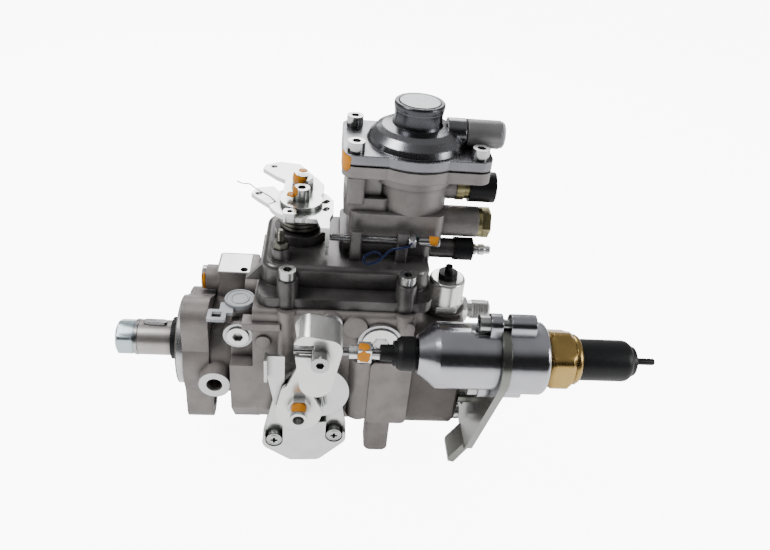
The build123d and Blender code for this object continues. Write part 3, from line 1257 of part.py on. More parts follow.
# Socket-head screws: governor cover, boost cover, cold-start cover, actuator ears and timing cover
with BuildPart() as small_screws:
    for x, y in cover_screws:
        socket_screw(Plane(origin=(x, y, cover_seat_z)), 4.25, 5.0, 2.5, 25.5, 4.0)
    for x, y in boost_screws:
        socket_screw(Plane(origin=(x, y, bell_z)), 4.25, 5.0, 2.5, 11.5, 4.0)
    for x, z in cold_screws:
        socket_screw(Plane(origin=(x, cover_face_y, z), z_dir=(0, -1, 0)), 4.25, 4.0, 2.5, 10.2, 4.0)
    for side in (-1, 1):
        seat = Plane(origin=(act_front_end_x, rod_y, rod_z + side * ear_dz), z_dir=(-1, 0, 0))
        socket_screw(seat, 4.25, 5.0, 2.5, act_rear_x[0] + 11 - act_front_end_x, 4.0)
    for x, z in timing_screws:
        seat = Plane(origin=(x, timing_boss_far_y + timing_cover_t, z), z_dir=(0, 1, 0))
        socket_screw(seat, 3.5, 3.5, 2.0, 9, 3.0)
save(small_screws.part, "small_screws")

# Larger socket-head screws: head to housing and bracket to head
with BuildPart() as head_screws:
    for y, z in head_bolts:
        seat = Plane(origin=(head_end_x - head_seat_depth, y, z), z_dir=(1, 0, 0))
        socket_screw(seat, 4.6, 5.0, head_bolt_r, head_end_x - head_seat_depth - body_end_x + 8, 5.0)
    for y, z in bracket_bolts:
        seat = Plane(origin=(act_bracket_x + bracket_t, y, z), z_dir=(1, 0, 0))
        socket_screw(seat, 5.0, 6.0, head_bolt_r, act_bracket_x + bracket_t - head_end_x + 8, 5.0)
save(head_screws.part, "head_screws")

# Adjusting screws: idle stud along the cover, full-throttle stop and full-load screw
with BuildPart() as adjusting_screws:
    bar_x(74.7, 120, 2.0, stud_y, stud_z)
    hexagon_x(stud_post_x[1] + 3, stud_post_x[1] + 6.5, 7.0, stud_y, stud_z)
    bar_x(120, 130.5, 2.6, stud_y, stud_z)
    bar_z(cover_pad_z - 4, throttle_plate_z - 2, 2.0, stop_screw_x, stop_screw_y)
    hexagon_z(cover_pad_z + 6, cover_pad_z + 9.5, 7.0, stop_screw_x, stop_screw_y)
    bar_x(cover_x[1] - 5, cover_x[1] + 30, 3.0, full_load_y, full_load_z)
    bar_x(cover_x[1] + 30, cover_x[1] + 33, 2.3, full_load_y, full_load_z)
save(adjusting_screws.part, "adjusting_screws")

# Black caps: over the vent, round the full-load screw and on the solenoid's terminal
with BuildPart() as protective_caps:
    bar_x(vent_ring_x, vent_cap_x, 8.0, vent_y, vent_z)
    bar_x(vent_ring_x, vent_cap_x - 2.5, 4.0, vent_y, vent_z, mode=Mode.SUBTRACT)
    with BuildSketch(Plane.YZ.offset(cover_x[1] + 13)):
        with Locations((full_load_y, full_load_z)):
            Circle(6.2)
            Circle(3.0, mode=Mode.SUBTRACT)
    extrude(amount=10)
    bar_z(solenoid_top_z - 4, solenoid_top_z - 1, 5.2, solenoid_x, solenoid_y)
    bar_z(solenoid_top_z - 1, solenoid_top_z + 3, 2.0, solenoid_x, solenoid_y)
save(protective_caps.part, "protective_caps")

# Plug over the feeler bore and the vent fitting
with BuildPart() as boost_fittings:
    bar_x(feeler_x - 11, feeler_x, 5.0, feeler_y, feeler_z)
    bar_x(feeler_x, feeler_x + 2, 8.0, feeler_y, feeler_z)
    hexagon_x(feeler_x + 2, feeler_x + 6.7, 14.0, feeler_y, feeler_z)
    bar_x(vent_x - 7, vent_x, 3.5, vent_y, vent_z)
    bar_x(vent_x, vent_x + 4, 7.4, vent_y, vent_z)
    bar_x(vent_x + 4, vent_ring_x, 6.6, vent_y, vent_z)
    bar_x(vent_ring_x, vent_ring_x + 3.2, 4.0, vent_y, vent_z)
save(boost_fittings.part, "boost_fittings")
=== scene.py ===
import bpy
import bmesh
from math import cos, pi, radians, sin
from mathutils import Matrix, Vector
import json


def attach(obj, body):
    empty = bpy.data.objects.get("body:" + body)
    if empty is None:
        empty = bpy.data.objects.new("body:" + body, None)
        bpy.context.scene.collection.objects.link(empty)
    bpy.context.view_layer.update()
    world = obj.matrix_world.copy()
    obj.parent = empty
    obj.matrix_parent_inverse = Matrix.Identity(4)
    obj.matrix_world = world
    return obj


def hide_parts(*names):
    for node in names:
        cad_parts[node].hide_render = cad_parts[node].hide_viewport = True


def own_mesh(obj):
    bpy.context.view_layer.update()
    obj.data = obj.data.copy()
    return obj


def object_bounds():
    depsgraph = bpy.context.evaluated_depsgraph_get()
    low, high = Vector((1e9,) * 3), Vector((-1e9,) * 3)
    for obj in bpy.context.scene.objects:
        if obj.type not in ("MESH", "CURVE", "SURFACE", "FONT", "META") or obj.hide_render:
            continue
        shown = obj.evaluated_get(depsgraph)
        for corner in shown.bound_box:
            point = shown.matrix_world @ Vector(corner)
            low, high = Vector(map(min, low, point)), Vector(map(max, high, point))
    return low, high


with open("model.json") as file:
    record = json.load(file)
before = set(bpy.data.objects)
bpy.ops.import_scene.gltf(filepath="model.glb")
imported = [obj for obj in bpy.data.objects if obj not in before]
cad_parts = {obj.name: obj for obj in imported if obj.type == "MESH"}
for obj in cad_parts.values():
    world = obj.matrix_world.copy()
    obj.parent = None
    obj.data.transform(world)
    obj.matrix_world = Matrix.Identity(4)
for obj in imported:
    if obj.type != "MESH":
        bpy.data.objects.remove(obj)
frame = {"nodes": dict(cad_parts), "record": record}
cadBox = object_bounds()
nodes = frame["nodes"]
mm = 0.001
print("stage 1: frame loaded,", len(nodes), "nodes")

# Finishes: colour, metallic, roughness, scale and bump of the grain, rounding of the edges in mm,
# depth of the stains
finishes = {
    "castGrey": ((0.235, 0.215, 0.207), 0.55, 0.50, 900, 0.12, 0.6, 0.10),
    "castBoost": ((0.235, 0.22, 0.215), 0.60, 0.46, 900, 0.12, 0.6, 0.10),
    "castDark": ((0.100, 0.094, 0.094), 0.60, 0.30, 1100, 0.10, 0.8, 0.16),
    "castBright": ((0.46, 0.46, 0.50), 1.0, 0.19, 700, 0.015, 0.7, 0.05),
    "coverMetal": ((0.19, 0.19, 0.205), 1.0, 0.25, 900, 0.03, 0.9, 0.08),
    "neckMetal": ((0.070, 0.070, 0.078), 1.0, 0.27, 900, 0.03, 0.9, 0.08),
    "nippleGrey": ((0.20, 0.195, 0.20), 0.65, 0.42, 900, 0.06, 0.7, 0.08),
    "darkSteel": ((0.095, 0.084, 0.078), 0.55, 0.42, 600, 0.06, 0.5, 0.10),
    "shaftSteel": ((0.43, 0.40, 0.39), 0.85, 0.34, 1400, 0.02, 0.3, 0.05),
    "steel": ((0.42, 0.42, 0.43), 1.0, 0.24, 1400, 0.01, 0.2, 0.05),
    "darkWire": ((0.12, 0.115, 0.10), 0.9, 0.34, 700, 0.02, 0.1, 0.08),
    "zinc": ((0.80, 0.81, 0.79), 0.85, 0.24, 1500, 0.008, 0.25, 0.03),
    "boltZinc": ((0.50, 0.51, 0.50), 0.95, 0.22, 1500, 0.008, 0.25, 0.04),
    "plateZinc": ((0.66, 0.68, 0.66), 0.92, 0.20, 1500, 0.012, 0.25, 0.04),
    "blueZinc": ((0.50, 0.58, 0.63), 0.85, 0.24, 1500, 0.008, 0.3, 0.03),
    "yellowZinc": ((0.36, 0.32, 0.17), 0.90, 0.30, 400, 0.03, 0.25, 0.12),
    "brass": ((0.40, 0.27, 0.095), 1.0, 0.27, 300, 0.02, 0.35, 0.06),
    "bronze": ((0.50, 0.34, 0.16), 1.0, 0.35, 500, 0.03, 0.2, 0.08),
    "blackPlastic": ((0.006, 0.006, 0.007), 0.0, 0.40, 900, 0.03, 0.5, 0.10),
    "blackRubber": ((0.007, 0.007, 0.008), 0.0, 0.46, 900, 0.05, 0.5, 0.10),
    "whitePlastic": ((0.66, 0.74, 0.76), 0.0, 0.28, 400, 0.01, 0.2, 0.02),
    "milkPlastic": ((0.40, 0.42, 0.45), 0.0, 0.24, 400, 0.01, 0.3, 0.05),
    "orangePaint": ((0.60, 0.22, 0.008), 0.0, 0.34, 500, 0.05, 0.2, 0.14),
    "greenPaint": ((0.01, 0.17, 0.11), 0.0, 0.45, 500, 0.04, 0.1, 0.10),
    "machined": ((0.60, 0.60, 0.62), 0.9, 0.26, 1600, 0.01, 0.1, 0.04),
    # painted shade: the bracket's zinc is darkened to stand in for the shade on its faces
    "shadedBracketZinc": ((0.22, 0.225, 0.205), 0.95, 0.24, 1500, 0.01, 0.3, 0.05),
    "sealWire": ((0.015, 0.03, 0.12), 0.2, 0.36, 500, 0.02, 0.1, 0.12),
}
# What all finishes share; grainDepth and the reach of the painted shade in corners are in mm
surface = dict(stainScale=70, stainDetail=6, stainLow=0.30, stainHigh=0.62, stainDark=2.2,
               grainDetail=3, grainDepth=0.6, sheenLow=0.8, sheenHigh=1.25, plasticShine=0.22,
               shadeReach=3.5, shadeSamples=6, edgeSamples=4)
# Finish of each material slot of the record
finishOf = {
    "cast_grey": "castGrey", "cast_dark": "castDark", "cast_polished": "castBright",
    "head_steel": "darkSteel", "steel": "steel", "spring_steel": "steel", "zinc": "zinc",
    "yellow_zinc": "yellowZinc", "brass": "brass", "bronze": "bronze", "black_plastic": "blackPlastic",
    "black_rubber": "blackRubber", "clear_plastic": "milkPlastic", "white_plastic": "whitePlastic",
}
# Nodes that look a little different from the rest of their slot
nodeFinish = {
    "boost_cover": "coverMetal", "boost_housing": "castBoost", "boost_hose_nipple": "nippleGrey",
    "drive_shaft": "shaftSteel", "springs": "darkWire", "actuator_bracket": "shadedBracketZinc",
    "small_screws": "boltZinc", "throttle_fasteners": "boltZinc", "rod_clamp": "boltZinc",
    "throttle_lever": "plateZinc", "stop_disc": "plateZinc", "cold_start_cover": "plateZinc",
}


def makeFinish(name, recipe, s):
    colour, metal, rough, grainScale, grainBump, edgeRadius, stains = recipe
    mat = bpy.data.materials.new(name)
    mat.use_nodes = True
    tree = mat.node_tree
    add, link = tree.nodes.new, tree.links.new
    shader = tree.nodes["Principled BSDF"]
    shader.inputs["Metallic"].default_value = metal
    if metal == 0:
        shader.inputs["Specular IOR Level"].default_value = s["plasticShine"]
    coord = add("ShaderNodeTexCoord")
    patches = add("ShaderNodeTexNoise")  # broad stains and tone
    patches.inputs["Scale"].default_value = s["stainScale"]
    patches.inputs["Detail"].default_value = s["stainDetail"]
    grain = add("ShaderNodeTexNoise")  # the fine surface
    grain.inputs["Scale"].default_value = grainScale
    grain.inputs["Detail"].default_value = s["grainDetail"]
    link(coord.outputs["Object"], patches.inputs["Vector"])
    link(coord.outputs["Object"], grain.inputs["Vector"])
    tone = add("ShaderNodeMix")
    tone.data_type = "RGBA"
    tone.inputs["A"].default_value = (*[c * (1 - s["stainDark"] * stains) for c in colour], 1)
    tone.inputs["B"].default_value = (*[min(1, c * (1 + stains)) for c in colour], 1)
    spread = add("ShaderNodeMapRange")
    spread.inputs["From Min"].default_value = s["stainLow"]
    spread.inputs["From Max"].default_value = s["stainHigh"]
    link(patches.outputs["Fac"], spread.inputs["Value"])
    link(spread.outputs["Result"], tone.inputs["Factor"])
    cornerShade = add("ShaderNodeAmbientOcclusion")  # painted shade: the base colour is darkened where faces meet, where shade falls
    cornerShade.samples = s["shadeSamples"]
    cornerShade.inputs["Distance"].default_value = s["shadeReach"] * mm
    link(tone.outputs["Result"], cornerShade.inputs["Color"])
    link(cornerShade.outputs["Color"], shader.inputs["Base Color"])
    sheen = add("ShaderNodeMapRange")
    sheen.inputs["To Min"].default_value = rough * s["sheenLow"]
    sheen.inputs["To Max"].default_value = min(1, rough * s["sheenHigh"])
    link(grain.outputs["Fac"], sheen.inputs["Value"])
    link(sheen.outputs["Result"], shader.inputs["Roughness"])
    edge = add("ShaderNodeBevel")
    edge.samples = s["edgeSamples"]
    edge.inputs["Radius"].default_value = edgeRadius * mm
    bump = add("ShaderNodeBump")
    bump.inputs["Strength"].default_value = grainBump
    bump.inputs["Distance"].default_value = s["grainDepth"] * mm
    link(grain.outputs["Fac"], bump.inputs["Height"])
    link(edge.outputs["Normal"], bump.inputs["Normal"])
    link(bump.outputs["Normal"], shader.inputs["Normal"])
    return mat


materials = {name: makeFinish(name, recipe, surface) for name, recipe in finishes.items()}
for entry in frame["record"]["subparts"]:
    slots = nodes[entry["node"]].data.materials
    slots.clear()
    slots.append(materials[nodeFinish.get(entry["node"], finishOf[entry["material_slot"]])])
print("stage 2: finishes on the frame's nodes")


# Mesh helpers. A profile is a list of points (along the axis, radius) in mm; a radius may depend on the
# angle round the axis
def hexRadius(flats, most):
    return lambda a: min(flats / 2 / cos((a + pi / 6) % (pi / 3) - pi / 6), most)


def crossRadius(half, arm):
    # how far a cross of two bars reaches at an angle
    return lambda a: min(arm, half / max(min(abs(sin(a)), abs(cos(a))), 1e-6))


def boxRadius(lowX, highX, lowY, highY):
    # how far a rectangle reaches at an angle, from a point inside it
    def reach(a):
        across = (highX if cos(a) > 0 else lowX) / max(abs(cos(a)), 1e-6)
        return min(across, (highY if sin(a) > 0 else lowY) / max(abs(sin(a)), 1e-6))
    return reach


def axisFrame(origin, axis):
    # local Z runs along the axis; along (0, 0, 1) local X and Y are turned to -X and -Y
    turn = Vector(axis).to_track_quat("Z", "Y").to_matrix().to_4x4()
    return Matrix.Translation(Vector(origin) * mm) @ turn


def addTurned(bm, profile, origin, axis, steps):
    # a profile that comes back to its first point makes a ring, any other is closed by its two end faces
    place = axisFrame(origin, axis)
    loop = profile[0] == profile[-1]
    rings = []
    for along, radius in profile[:-1] if loop else profile:
        ring = []
        for k in range(steps):
            a = 2 * pi * k / steps
            r = radius(a) if callable(radius) else radius
            ring.append(bm.verts.new(place @ (Vector((r * cos(a), r * sin(a), along)) * mm)))
        rings.append(ring)
    for one, two in zip(rings, rings[1:] + rings[:1] if loop else rings[1:]):
        for k in range(steps):
            bm.faces.new((one[k - 1], one[k], two[k], two[k - 1]))
    if not loop:
        bm.faces.new(rings[0])
        bm.faces.new(rings[-1])


def finishMesh(bm, crease=32):
    # edges up to the crease angle, in degrees, are smoothed
    bmesh.ops.recalc_face_normals(bm, faces=bm.faces)
    for edge in bm.edges:
        edge.smooth = len(edge.link_faces) == 2 and edge.calc_face_angle(0) < radians(crease)
    for face in bm.faces:
        face.smooth = True
    mesh = bpy.data.meshes.new("piece")
    bm.to_mesh(mesh)
    bm.free()
    return mesh


def addPiece(name, mesh, body, finish, hides=()):
    mesh.name = name
    piece = bpy.data.objects.new(name, mesh)
    bpy.context.collection.objects.link(piece)
    if not mesh.materials:
        mesh.materials.append(materials[finish])
    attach(piece, body)
    if hides:
        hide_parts(*hides)
    return piece


def makeTurned(s, crease=32):
    bm = bmesh.new()
    addTurned(bm, s["profile"], s["at"], s["axis"], s["steps"])
    return finishMesh(bm, crease)


# Geometry Nodes trees: one strand or a twisted pair along a path, and a section wound round an axis
def newTree(name, inputs):
    tree = bpy.data.node_groups.new(name, "GeometryNodeTree")
    tree.interface.new_socket("Geometry", in_out="INPUT", socket_type="NodeSocketGeometry")
    for label, kind in inputs.items():
        tree.interface.new_socket(label, in_out="INPUT", socket_type="NodeSocket" + kind)
    tree.interface.new_socket("Material", in_out="INPUT", socket_type="NodeSocketMaterial")
    tree.interface.new_socket("Geometry", in_out="OUTPUT", socket_type="NodeSocketGeometry")
    return tree, tree.nodes.new("NodeGroupInput")


def sweepTree(tree, given, path, section):
    # sweeps the section along the path and ends the tree
    sweep = tree.nodes.new("GeometryNodeCurveToMesh")
    sweep.inputs["Fill Caps"].default_value = True
    tree.links.new(path, sweep.inputs["Curve"])
    tree.links.new(section, sweep.inputs["Profile Curve"])
    real = tree.nodes.new("GeometryNodeRealizeInstances")
    tree.links.new(sweep.outputs["Mesh"], real.inputs["Geometry"])
    paint = tree.nodes.new("GeometryNodeSetMaterial")
    tree.links.new(real.outputs["Geometry"], paint.inputs["Geometry"])
    tree.links.new(given.outputs["Material"], paint.inputs["Material"])
    out = tree.nodes.new("NodeGroupOutput")
    tree.links.new(paint.outputs["Geometry"], out.inputs["Geometry"])
    return tree


wireDetail = dict(rings=160, sides=8, pathSteps=12)
helixSteps = 36  # per turn


def makeWireTree(name, strands):
    # strands holds the place of each strand across the wire, in strand radii
    tree, given = newTree(name, {"Strand Radius": "Float", "Turns": "Float"})
    add, link = tree.nodes.new, tree.links.new
    even = add("GeometryNodeResampleCurve")
    even.inputs["Count"].default_value = wireDetail["rings"]
    link(given.outputs["Geometry"], even.inputs["Curve"])
    along = add("GeometryNodeSplineParameter")
    twist = add("ShaderNodeMath")
    twist.operation = "MULTIPLY"
    twist.inputs[1].default_value = 2 * pi
    link(given.outputs["Turns"], twist.inputs[0])
    angle = add("ShaderNodeMath")
    angle.operation = "MULTIPLY"
    link(along.outputs["Factor"], angle.inputs[0])
    link(twist.outputs[0], angle.inputs[1])
    tilt = add("GeometryNodeSetCurveTilt")
    link(even.outputs["Curve"], tilt.inputs["Curve"])
    link(angle.outputs[0], tilt.inputs["Tilt"])
    strand = add("GeometryNodeCurvePrimitiveCircle")
    strand.inputs["Resolution"].default_value = wireDetail["sides"]
    link(given.outputs["Strand Radius"], strand.inputs["Radius"])
    section = add("GeometryNodeJoinGeometry")
    for across in strands:
        shift = add("ShaderNodeMath")
        shift.operation = "MULTIPLY"
        shift.inputs[1].default_value = across
        link(given.outputs["Strand Radius"], shift.inputs[0])
        place = add("ShaderNodeCombineXYZ")
        link(shift.outputs[0], place.inputs["X"])
        move = add("GeometryNodeTransform")
        link(strand.outputs["Curve"], move.inputs["Geometry"])
        link(place.outputs["Vector"], move.inputs["Translation"])
        link(move.outputs["Geometry"], section.inputs["Geometry"])
    return sweepTree(tree, given, tilt.outputs["Curve"], section.outputs["Geometry"])


def makeHelixTree():
    sizes = {"Radius": "Float", "Length": "Float", "Turns": "Float",
             "Section Radius": "Float", "Sides": "Int"}
    tree, given = newTree("helix", sizes)
    add, link = tree.nodes.new, tree.links.new
    helix = add("GeometryNodeCurveSpiral")
    helix.inputs["Resolution"].default_value = helixSteps
    link(given.outputs["Radius"], helix.inputs["Start Radius"])
    link(given.outputs["Radius"], helix.inputs["End Radius"])
    link(given.outputs["Length"], helix.inputs["Height"])
    link(given.outputs["Turns"], helix.inputs["Rotations"])
    section = add("GeometryNodeCurvePrimitiveCircle")
    link(given.outputs["Sides"], section.inputs["Resolution"])
    link(given.outputs["Section Radius"], section.inputs["Radius"])
    upright = add("GeometryNodeSetCurveNormal")
    upright.mode = "Z_UP"
    link(helix.outputs["Curve"], upright.inputs["Curve"])
    return sweepTree(tree, given, upright.outputs["Curve"], section.outputs["Curve"])


def grow(tree, carrier, values):
    # runs a tree on a carrier object and gives back a plain mesh
    bpy.context.collection.objects.link(carrier)
    mod = carrier.modifiers.new("grow", "NODES")
    mod.node_group = tree
    for item in tree.interface.items_tree:
        if item.item_type == "SOCKET" and item.in_out == "INPUT" and item.name in values:
            mod[item.identifier] = values[item.name]
    bpy.context.view_layer.update()
    shape = carrier.evaluated_get(bpy.context.evaluated_depsgraph_get())
    mesh = bpy.data.meshes.new_from_object(shape)
    bpy.data.objects.remove(carrier)
    return mesh


pairTree = makeWireTree("twistedPair", (-1, 1))
wireTree = makeWireTree("singleWire", (0,))
helixTree = makeHelixTree()


def makeWire(s, finish):
    # a smooth path along the points; a wire with turns has two strands twisted round each other
    curve = bpy.data.curves.new("wire", "CURVE")
    curve.dimensions = "3D"
    curve.resolution_u = wireDetail["pathSteps"]
    spline = curve.splines.new("NURBS")
    spline.points.add(len(s["points"]) - 1)
    for knot, point in zip(spline.points, s["points"]):
        knot.co = (*(Vector(point) * mm), 1)
    spline.order_u = 3
    spline.use_endpoint_u = True
    values = {"Strand Radius": s["radius"] * mm, "Turns": s["turns"], "Material": materials[finish]}
    return grow(pairTree if s["turns"] else wireTree, bpy.data.objects.new("wire", curve), values)


def makeHelix(origin, axis, radius, length, turns, sectionRadius, sides, finish):
    values = {"Radius": radius * mm, "Length": length * mm, "Turns": turns,
              "Section Radius": sectionRadius * mm, "Sides": sides, "Material": materials[finish]}
    mesh = grow(helixTree, bpy.data.objects.new("helix", bpy.data.meshes.new("helix")), values)
    mesh.transform(axisFrame(origin, axis))
    return mesh


ridgeShare = 0.42  # radius of a thread's ridge, as a share of its pitch
ridgeSides = 4


def addScrew(bm, s, at, finish):
    # turned body, the ridge of its thread, and its nut where it has one, all measured from the body's start
    addTurned(bm, s["profile"], at, s["axis"], s["steps"])
    axis, thread = s["axis"], s["thread"]
    ridge = thread["pitch"] * ridgeShare
    start = Vector(at) + Vector(axis) * thread["start"]
    length, turns = thread["length"], thread["length"] / thread["pitch"]
    coilR = thread["radius"] - ridge
    bm.from_mesh(makeHelix(start, axis, coilR, length, turns, ridge, ridgeSides, finish))
    if "nut" in s:
        nutStart = Vector(at) + Vector(axis) * s["nut"]["start"]
        addTurned(bm, nutProfile(s["nut"]), nutStart, axis, s["nut"]["steps"])


def nutProfile(s):
    face, middle = hexRadius(s["flats"], s["faceR"]), hexRadius(s["flats"], s["corner"])
    return [(0, s["bore"]), (0, face), (s["nearChamfer"], middle), (s["length"] - s["farChamfer"], middle),
            (s["length"], face), (s["length"], s["bore"])]


# Pipe unions behind the bracket: hexagon, neck, thread and the cone that the pipe seats on
unions = dict(count=4, firstAngle=45, pitchR=23.5, face=150.0, axis=(1, 0, 0), steps=48,
              profile=[(-1, 5.9), (0, 5.9), (0, hexRadius(14.0, 7.2)), (0.7, hexRadius(14.0, 8.2)),
                       (7.2, hexRadius(14.0, 8.2)), (8, hexRadius(14.0, 7.1)), (8, 5.0), (10, 5.0),
                       (10.4, 5.25), (21.2, 5.25), (22, 4.65), (22, 3.6), (18.8, 1.2), (6, 1.2)],
              thread=dict(start=10.8, radius=6.0, length=10.2, pitch=1.5))


def makeUnions(s):
    bm = bmesh.new()
    for k in range(s["count"]):
        a = radians(s["firstAngle"]) + 2 * pi * k / s["count"]
        addScrew(bm, s, (s["face"], s["pitchR"] * cos(a), s["pitchR"] * sin(a)), "zinc")
    return finishMesh(bm)


addPiece("outletUnions", makeUnions(unions), "pump", "zinc", ["delivery_valve_holders"])

# Drive end: nut with turned corners, then washer and key
driveNut = dict(at=(-41.0, 0, 0), axis=(1, 0, 0), steps=72,
                profile=[(0, 6.0), (0, 7.6), (0.5, hexRadius(18.5, 8.6)), (1.5, hexRadius(18.5, 10.15)),
                         (9.1, hexRadius(18.5, 10.15)), (10, hexRadius(18.5, 9.4)), (10, 6.0)])
driveWasher = dict(at=(-31.0, 0, 0), axis=(1, 0, 0), steps=64,
                   profile=[(0, 6.2), (0, 9.7), (0.5, 10.2), (2.0, 10.2), (2.4, 9.8), (2.4, 6.2)])
shaftKey = dict(x=-19.6, length=13.0, width=4.0, bottom=6.0, top=11.8, chamfer=0.3, points=24)


def addKey(bm, s):
    half, shift = s["width"] / 2, (s["length"] - s["width"]) / 2
    outline = []
    for k in range(s["points"]):
        a = 2 * pi * (k + 0.5) / s["points"]
        outline.append((s["x"] + half * cos(a) + (shift if cos(a) > 0 else -shift), half * sin(a)))
    layers = []
    for z, narrow in ((s["bottom"], 1), (s["top"] - s["chamfer"], 1), (s["top"], 1 - s["chamfer"] / half)):
        layers.append([bm.verts.new(Vector((x, y * narrow, z)) * mm) for x, y in outline])
    for one, two in zip(layers, layers[1:]):
        for k in range(s["points"]):
            bm.faces.new((one[k - 1], one[k], two[k], two[k - 1]))
    bm.faces.new(layers[0])
    bm.faces.new(layers[-1])


def makeWasherAndKey(washer, key):
    bm = bmesh.new()
    addTurned(bm, washer["profile"], washer["at"], washer["axis"], washer["steps"])
    addKey(bm, key)
    return finishMesh(bm)


addPiece("driveNut", makeTurned(driveNut), "drive", "blueZinc", ["drive_fasteners"])
addPiece("driveWasher", makeWasherAndKey(driveWasher, shaftKey), "drive", "steel")
print("stage 3: unions and drive end")

# Heated wax element: brass body with its turned collars, black cap with rounded shoulders, black pin
rodLine = (-62.0, 46.0)  # Y and Z of the actuator's centre line
waxBody = dict(at=(179.5, *rodLine), axis=(1, 0, 0), steps=72,
               profile=[(0, 7.4), (0, 12.6), (0.8, 13.2), (1.6, hexRadius(27.0, 13.6)),
                        (3.0, hexRadius(27.0, 14.9)), (11.2, hexRadius(27.0, 14.9)),
                        (13.0, hexRadius(27.0, 13.4)), (13.4, 12.4), (13.9, 12.0), (14.4, 12.3),
                        (15.6, 12.3), (16.6, 11.7), (17.2, 10.9), (17.2, 10.2)])
waxCap = dict(at=(196.7, *rodLine), axis=(1, 0, 0), steps=64,
              profile=[(-0.4, 1.8), (-0.4, 10.15), (22.5, 10.15), (24.3, 9.8), (25.6, 8.9), (26.3, 7.9),
                       (27.2, 7.7), (28.4, 7.1), (29.0, 6.0), (29.2, 4.2), (29.3, 1.8)])
waxPin = dict(at=(196.7, *rodLine), axis=(1, 0, 0), steps=32,
              profile=[(20, 1.7), (38.9, 1.7), (39.5, 1.5), (39.8, 1.0)])
addPiece("waxBody", makeTurned(waxBody), "pump", "brass", ["wax_element"])
addPiece("waxCap", makeTurned(waxCap), "pump", "blackPlastic", ["terminal_cap"])
addPiece("waxPin", makeTurned(waxPin), "pump", "blackPlastic")

# Threaded screws on the governor cover: idle stud and full-throttle stop with their nuts, full-load screw
m4Nut = dict(flats=7.0, corner=4.1, faceR=3.6, bore=2.0, length=3.5, nearChamfer=0.4, steps=48)
idleStud = dict(at=(74.7, -14.0, 80.0), axis=(1, 0, 0), steps=32,
                profile=[(0, 1.2), (0.4, 1.62), (45.3, 1.62), (45.3, 2.5), (45.7, 2.6), (55.3, 2.6),
                         (55.8, 2.2)],
                thread=dict(start=0.8, radius=2.0, length=44.0, pitch=0.8),
                nut=dict(m4Nut, start=39.8, farChamfer=0.5))
stopScrew = dict(at=(50.5, -16.0, 64.0), axis=(0, 0, 1), steps=32,
                 profile=[(0, 1.62), (19.4, 1.62), (20, 1.1)],
                 thread=dict(start=13.6, radius=2.0, length=5.6, pitch=0.8),
                 nut=dict(m4Nut, start=10.0, farChamfer=0.4))
fullLoadScrew = dict(at=(123.0, 0, 68.5), axis=(1, 0, 0), steps=40,
                     profile=[(0, 2.5), (27.5, 2.5), (28, 3.0), (30, 3.0), (30.4, 2.2), (31.2, 2.2),
                              (31.6, 3.0), (34.4, 3.0), (35, 2.3), (37.5, 2.3), (38, 1.8)],
                     thread=dict(start=18.2, radius=3.0, length=9.0, pitch=1.0))


def makeScrew(s, finish):
    bm = bmesh.new()
    addScrew(bm, s, s["at"], finish)
    return finishMesh(bm)


addPiece("idleStud", makeScrew(idleStud, "steel"), "pump", "steel", ["adjusting_screws"])
addPiece("stopScrew", makeScrew(stopScrew, "darkWire"), "pump", "darkWire")
addPiece("fullLoadScrew", makeScrew(fullLoadScrew, "zinc"), "pump", "zinc")
print("stage 4: wax element and adjusting screws")

# Neck of the boost cover round its disc, a black ring as painted shade in the gap between them, and the
# plug in the end of the air connection
boostLine = (115.5, 10.8)  # X and Y of the boost chamber's centre line
boostNeck = dict(at=(*boostLine, 144.5), axis=(0, 0, 1), steps=96,
                 profile=[(-3, 10.15), (-13.4, 10.15), (-13.4, 14.6), (-12.8, 13.9), (-12, 13.0),
                          (-10.8, 12.35), (-9, 12.0), (-6.5, 11.95), (-4.6, 12.1), (-3, 12.45),
                          (-1.3, 12.6), (-0.5, 12.45), (-0.1, 12.0), (-0.05, 11.4), (-0.25, 10.4),
                          (-1.2, 10.25), (-3, 10.15)])
# painted shade: a black ring filling the gap between the neck and the disc, where shade falls
gapShadeRing = dict(at=(*boostLine, 144.5), axis=(0, 0, 1), steps=64,
                profile=[(-0.9, 9.4), (-0.02, 9.4), (-0.02, 10.25), (-0.9, 10.25), (-0.9, 9.4)])
portPlug = dict(at=(157.7, boostLine[1], 129.6), axis=(1, 0, 0), steps=48,
                profile=[(-6, 2.2), (-6, 4.4), (0, 4.4), (0, 6.6), (0.9, 6.6), (1.6, 5.9), (1.9, 3.2),
                         (1.2, 2.4), (1.2, 1.0)])
addPiece("boostNeck", makeTurned(boostNeck, crease=50), "pump", "neckMetal")
addPiece("gapShadeRing", makeTurned(gapShadeRing), "pump", "blackRubber")
addPiece("portPlug", makeTurned(portPlug), "pump", "milkPlastic")

# Spring under the boost diaphragm; the real one shortens as the diaphragm goes down, here it is built at
# one length
boostSpring = dict(low=96.0, high=116.0, coilR=11.0, endRoom=0.9, wireR=0.882, turns=4.0, sides=12,
                   crease=60, keep=0.75)


def makeBoostSpring(s):
    bm = bmesh.new()
    start = (*boostLine, s["low"] + s["endRoom"])
    length = s["high"] - s["low"] - 2 * s["endRoom"]
    bm.from_mesh(makeHelix(start, (0, 0, 1), s["coilR"], length, s["turns"], s["wireR"], s["sides"],
                           "steel"))
    return finishMesh(bm, s["crease"])


springMesh = makeBoostSpring(boostSpring)
spring = addPiece("boostSpring", springMesh, "pump", "steel", ["boost_spring"])
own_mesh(spring)

# Bright machined skins on the cast housing: the pilot, the rims of the near face's plugs, the block's top
pilotSkin = dict(at=(-5.04, 0, 0), axis=(1, 0, 0), steps=128,
                 profile=[(0.02, 17.2), (0, 17.2), (0, 24.33), (0.7, 25.03), (4.94, 25.03),
                          (4.94, 25.01), (0.02, 24.31), (0.02, 17.2)])
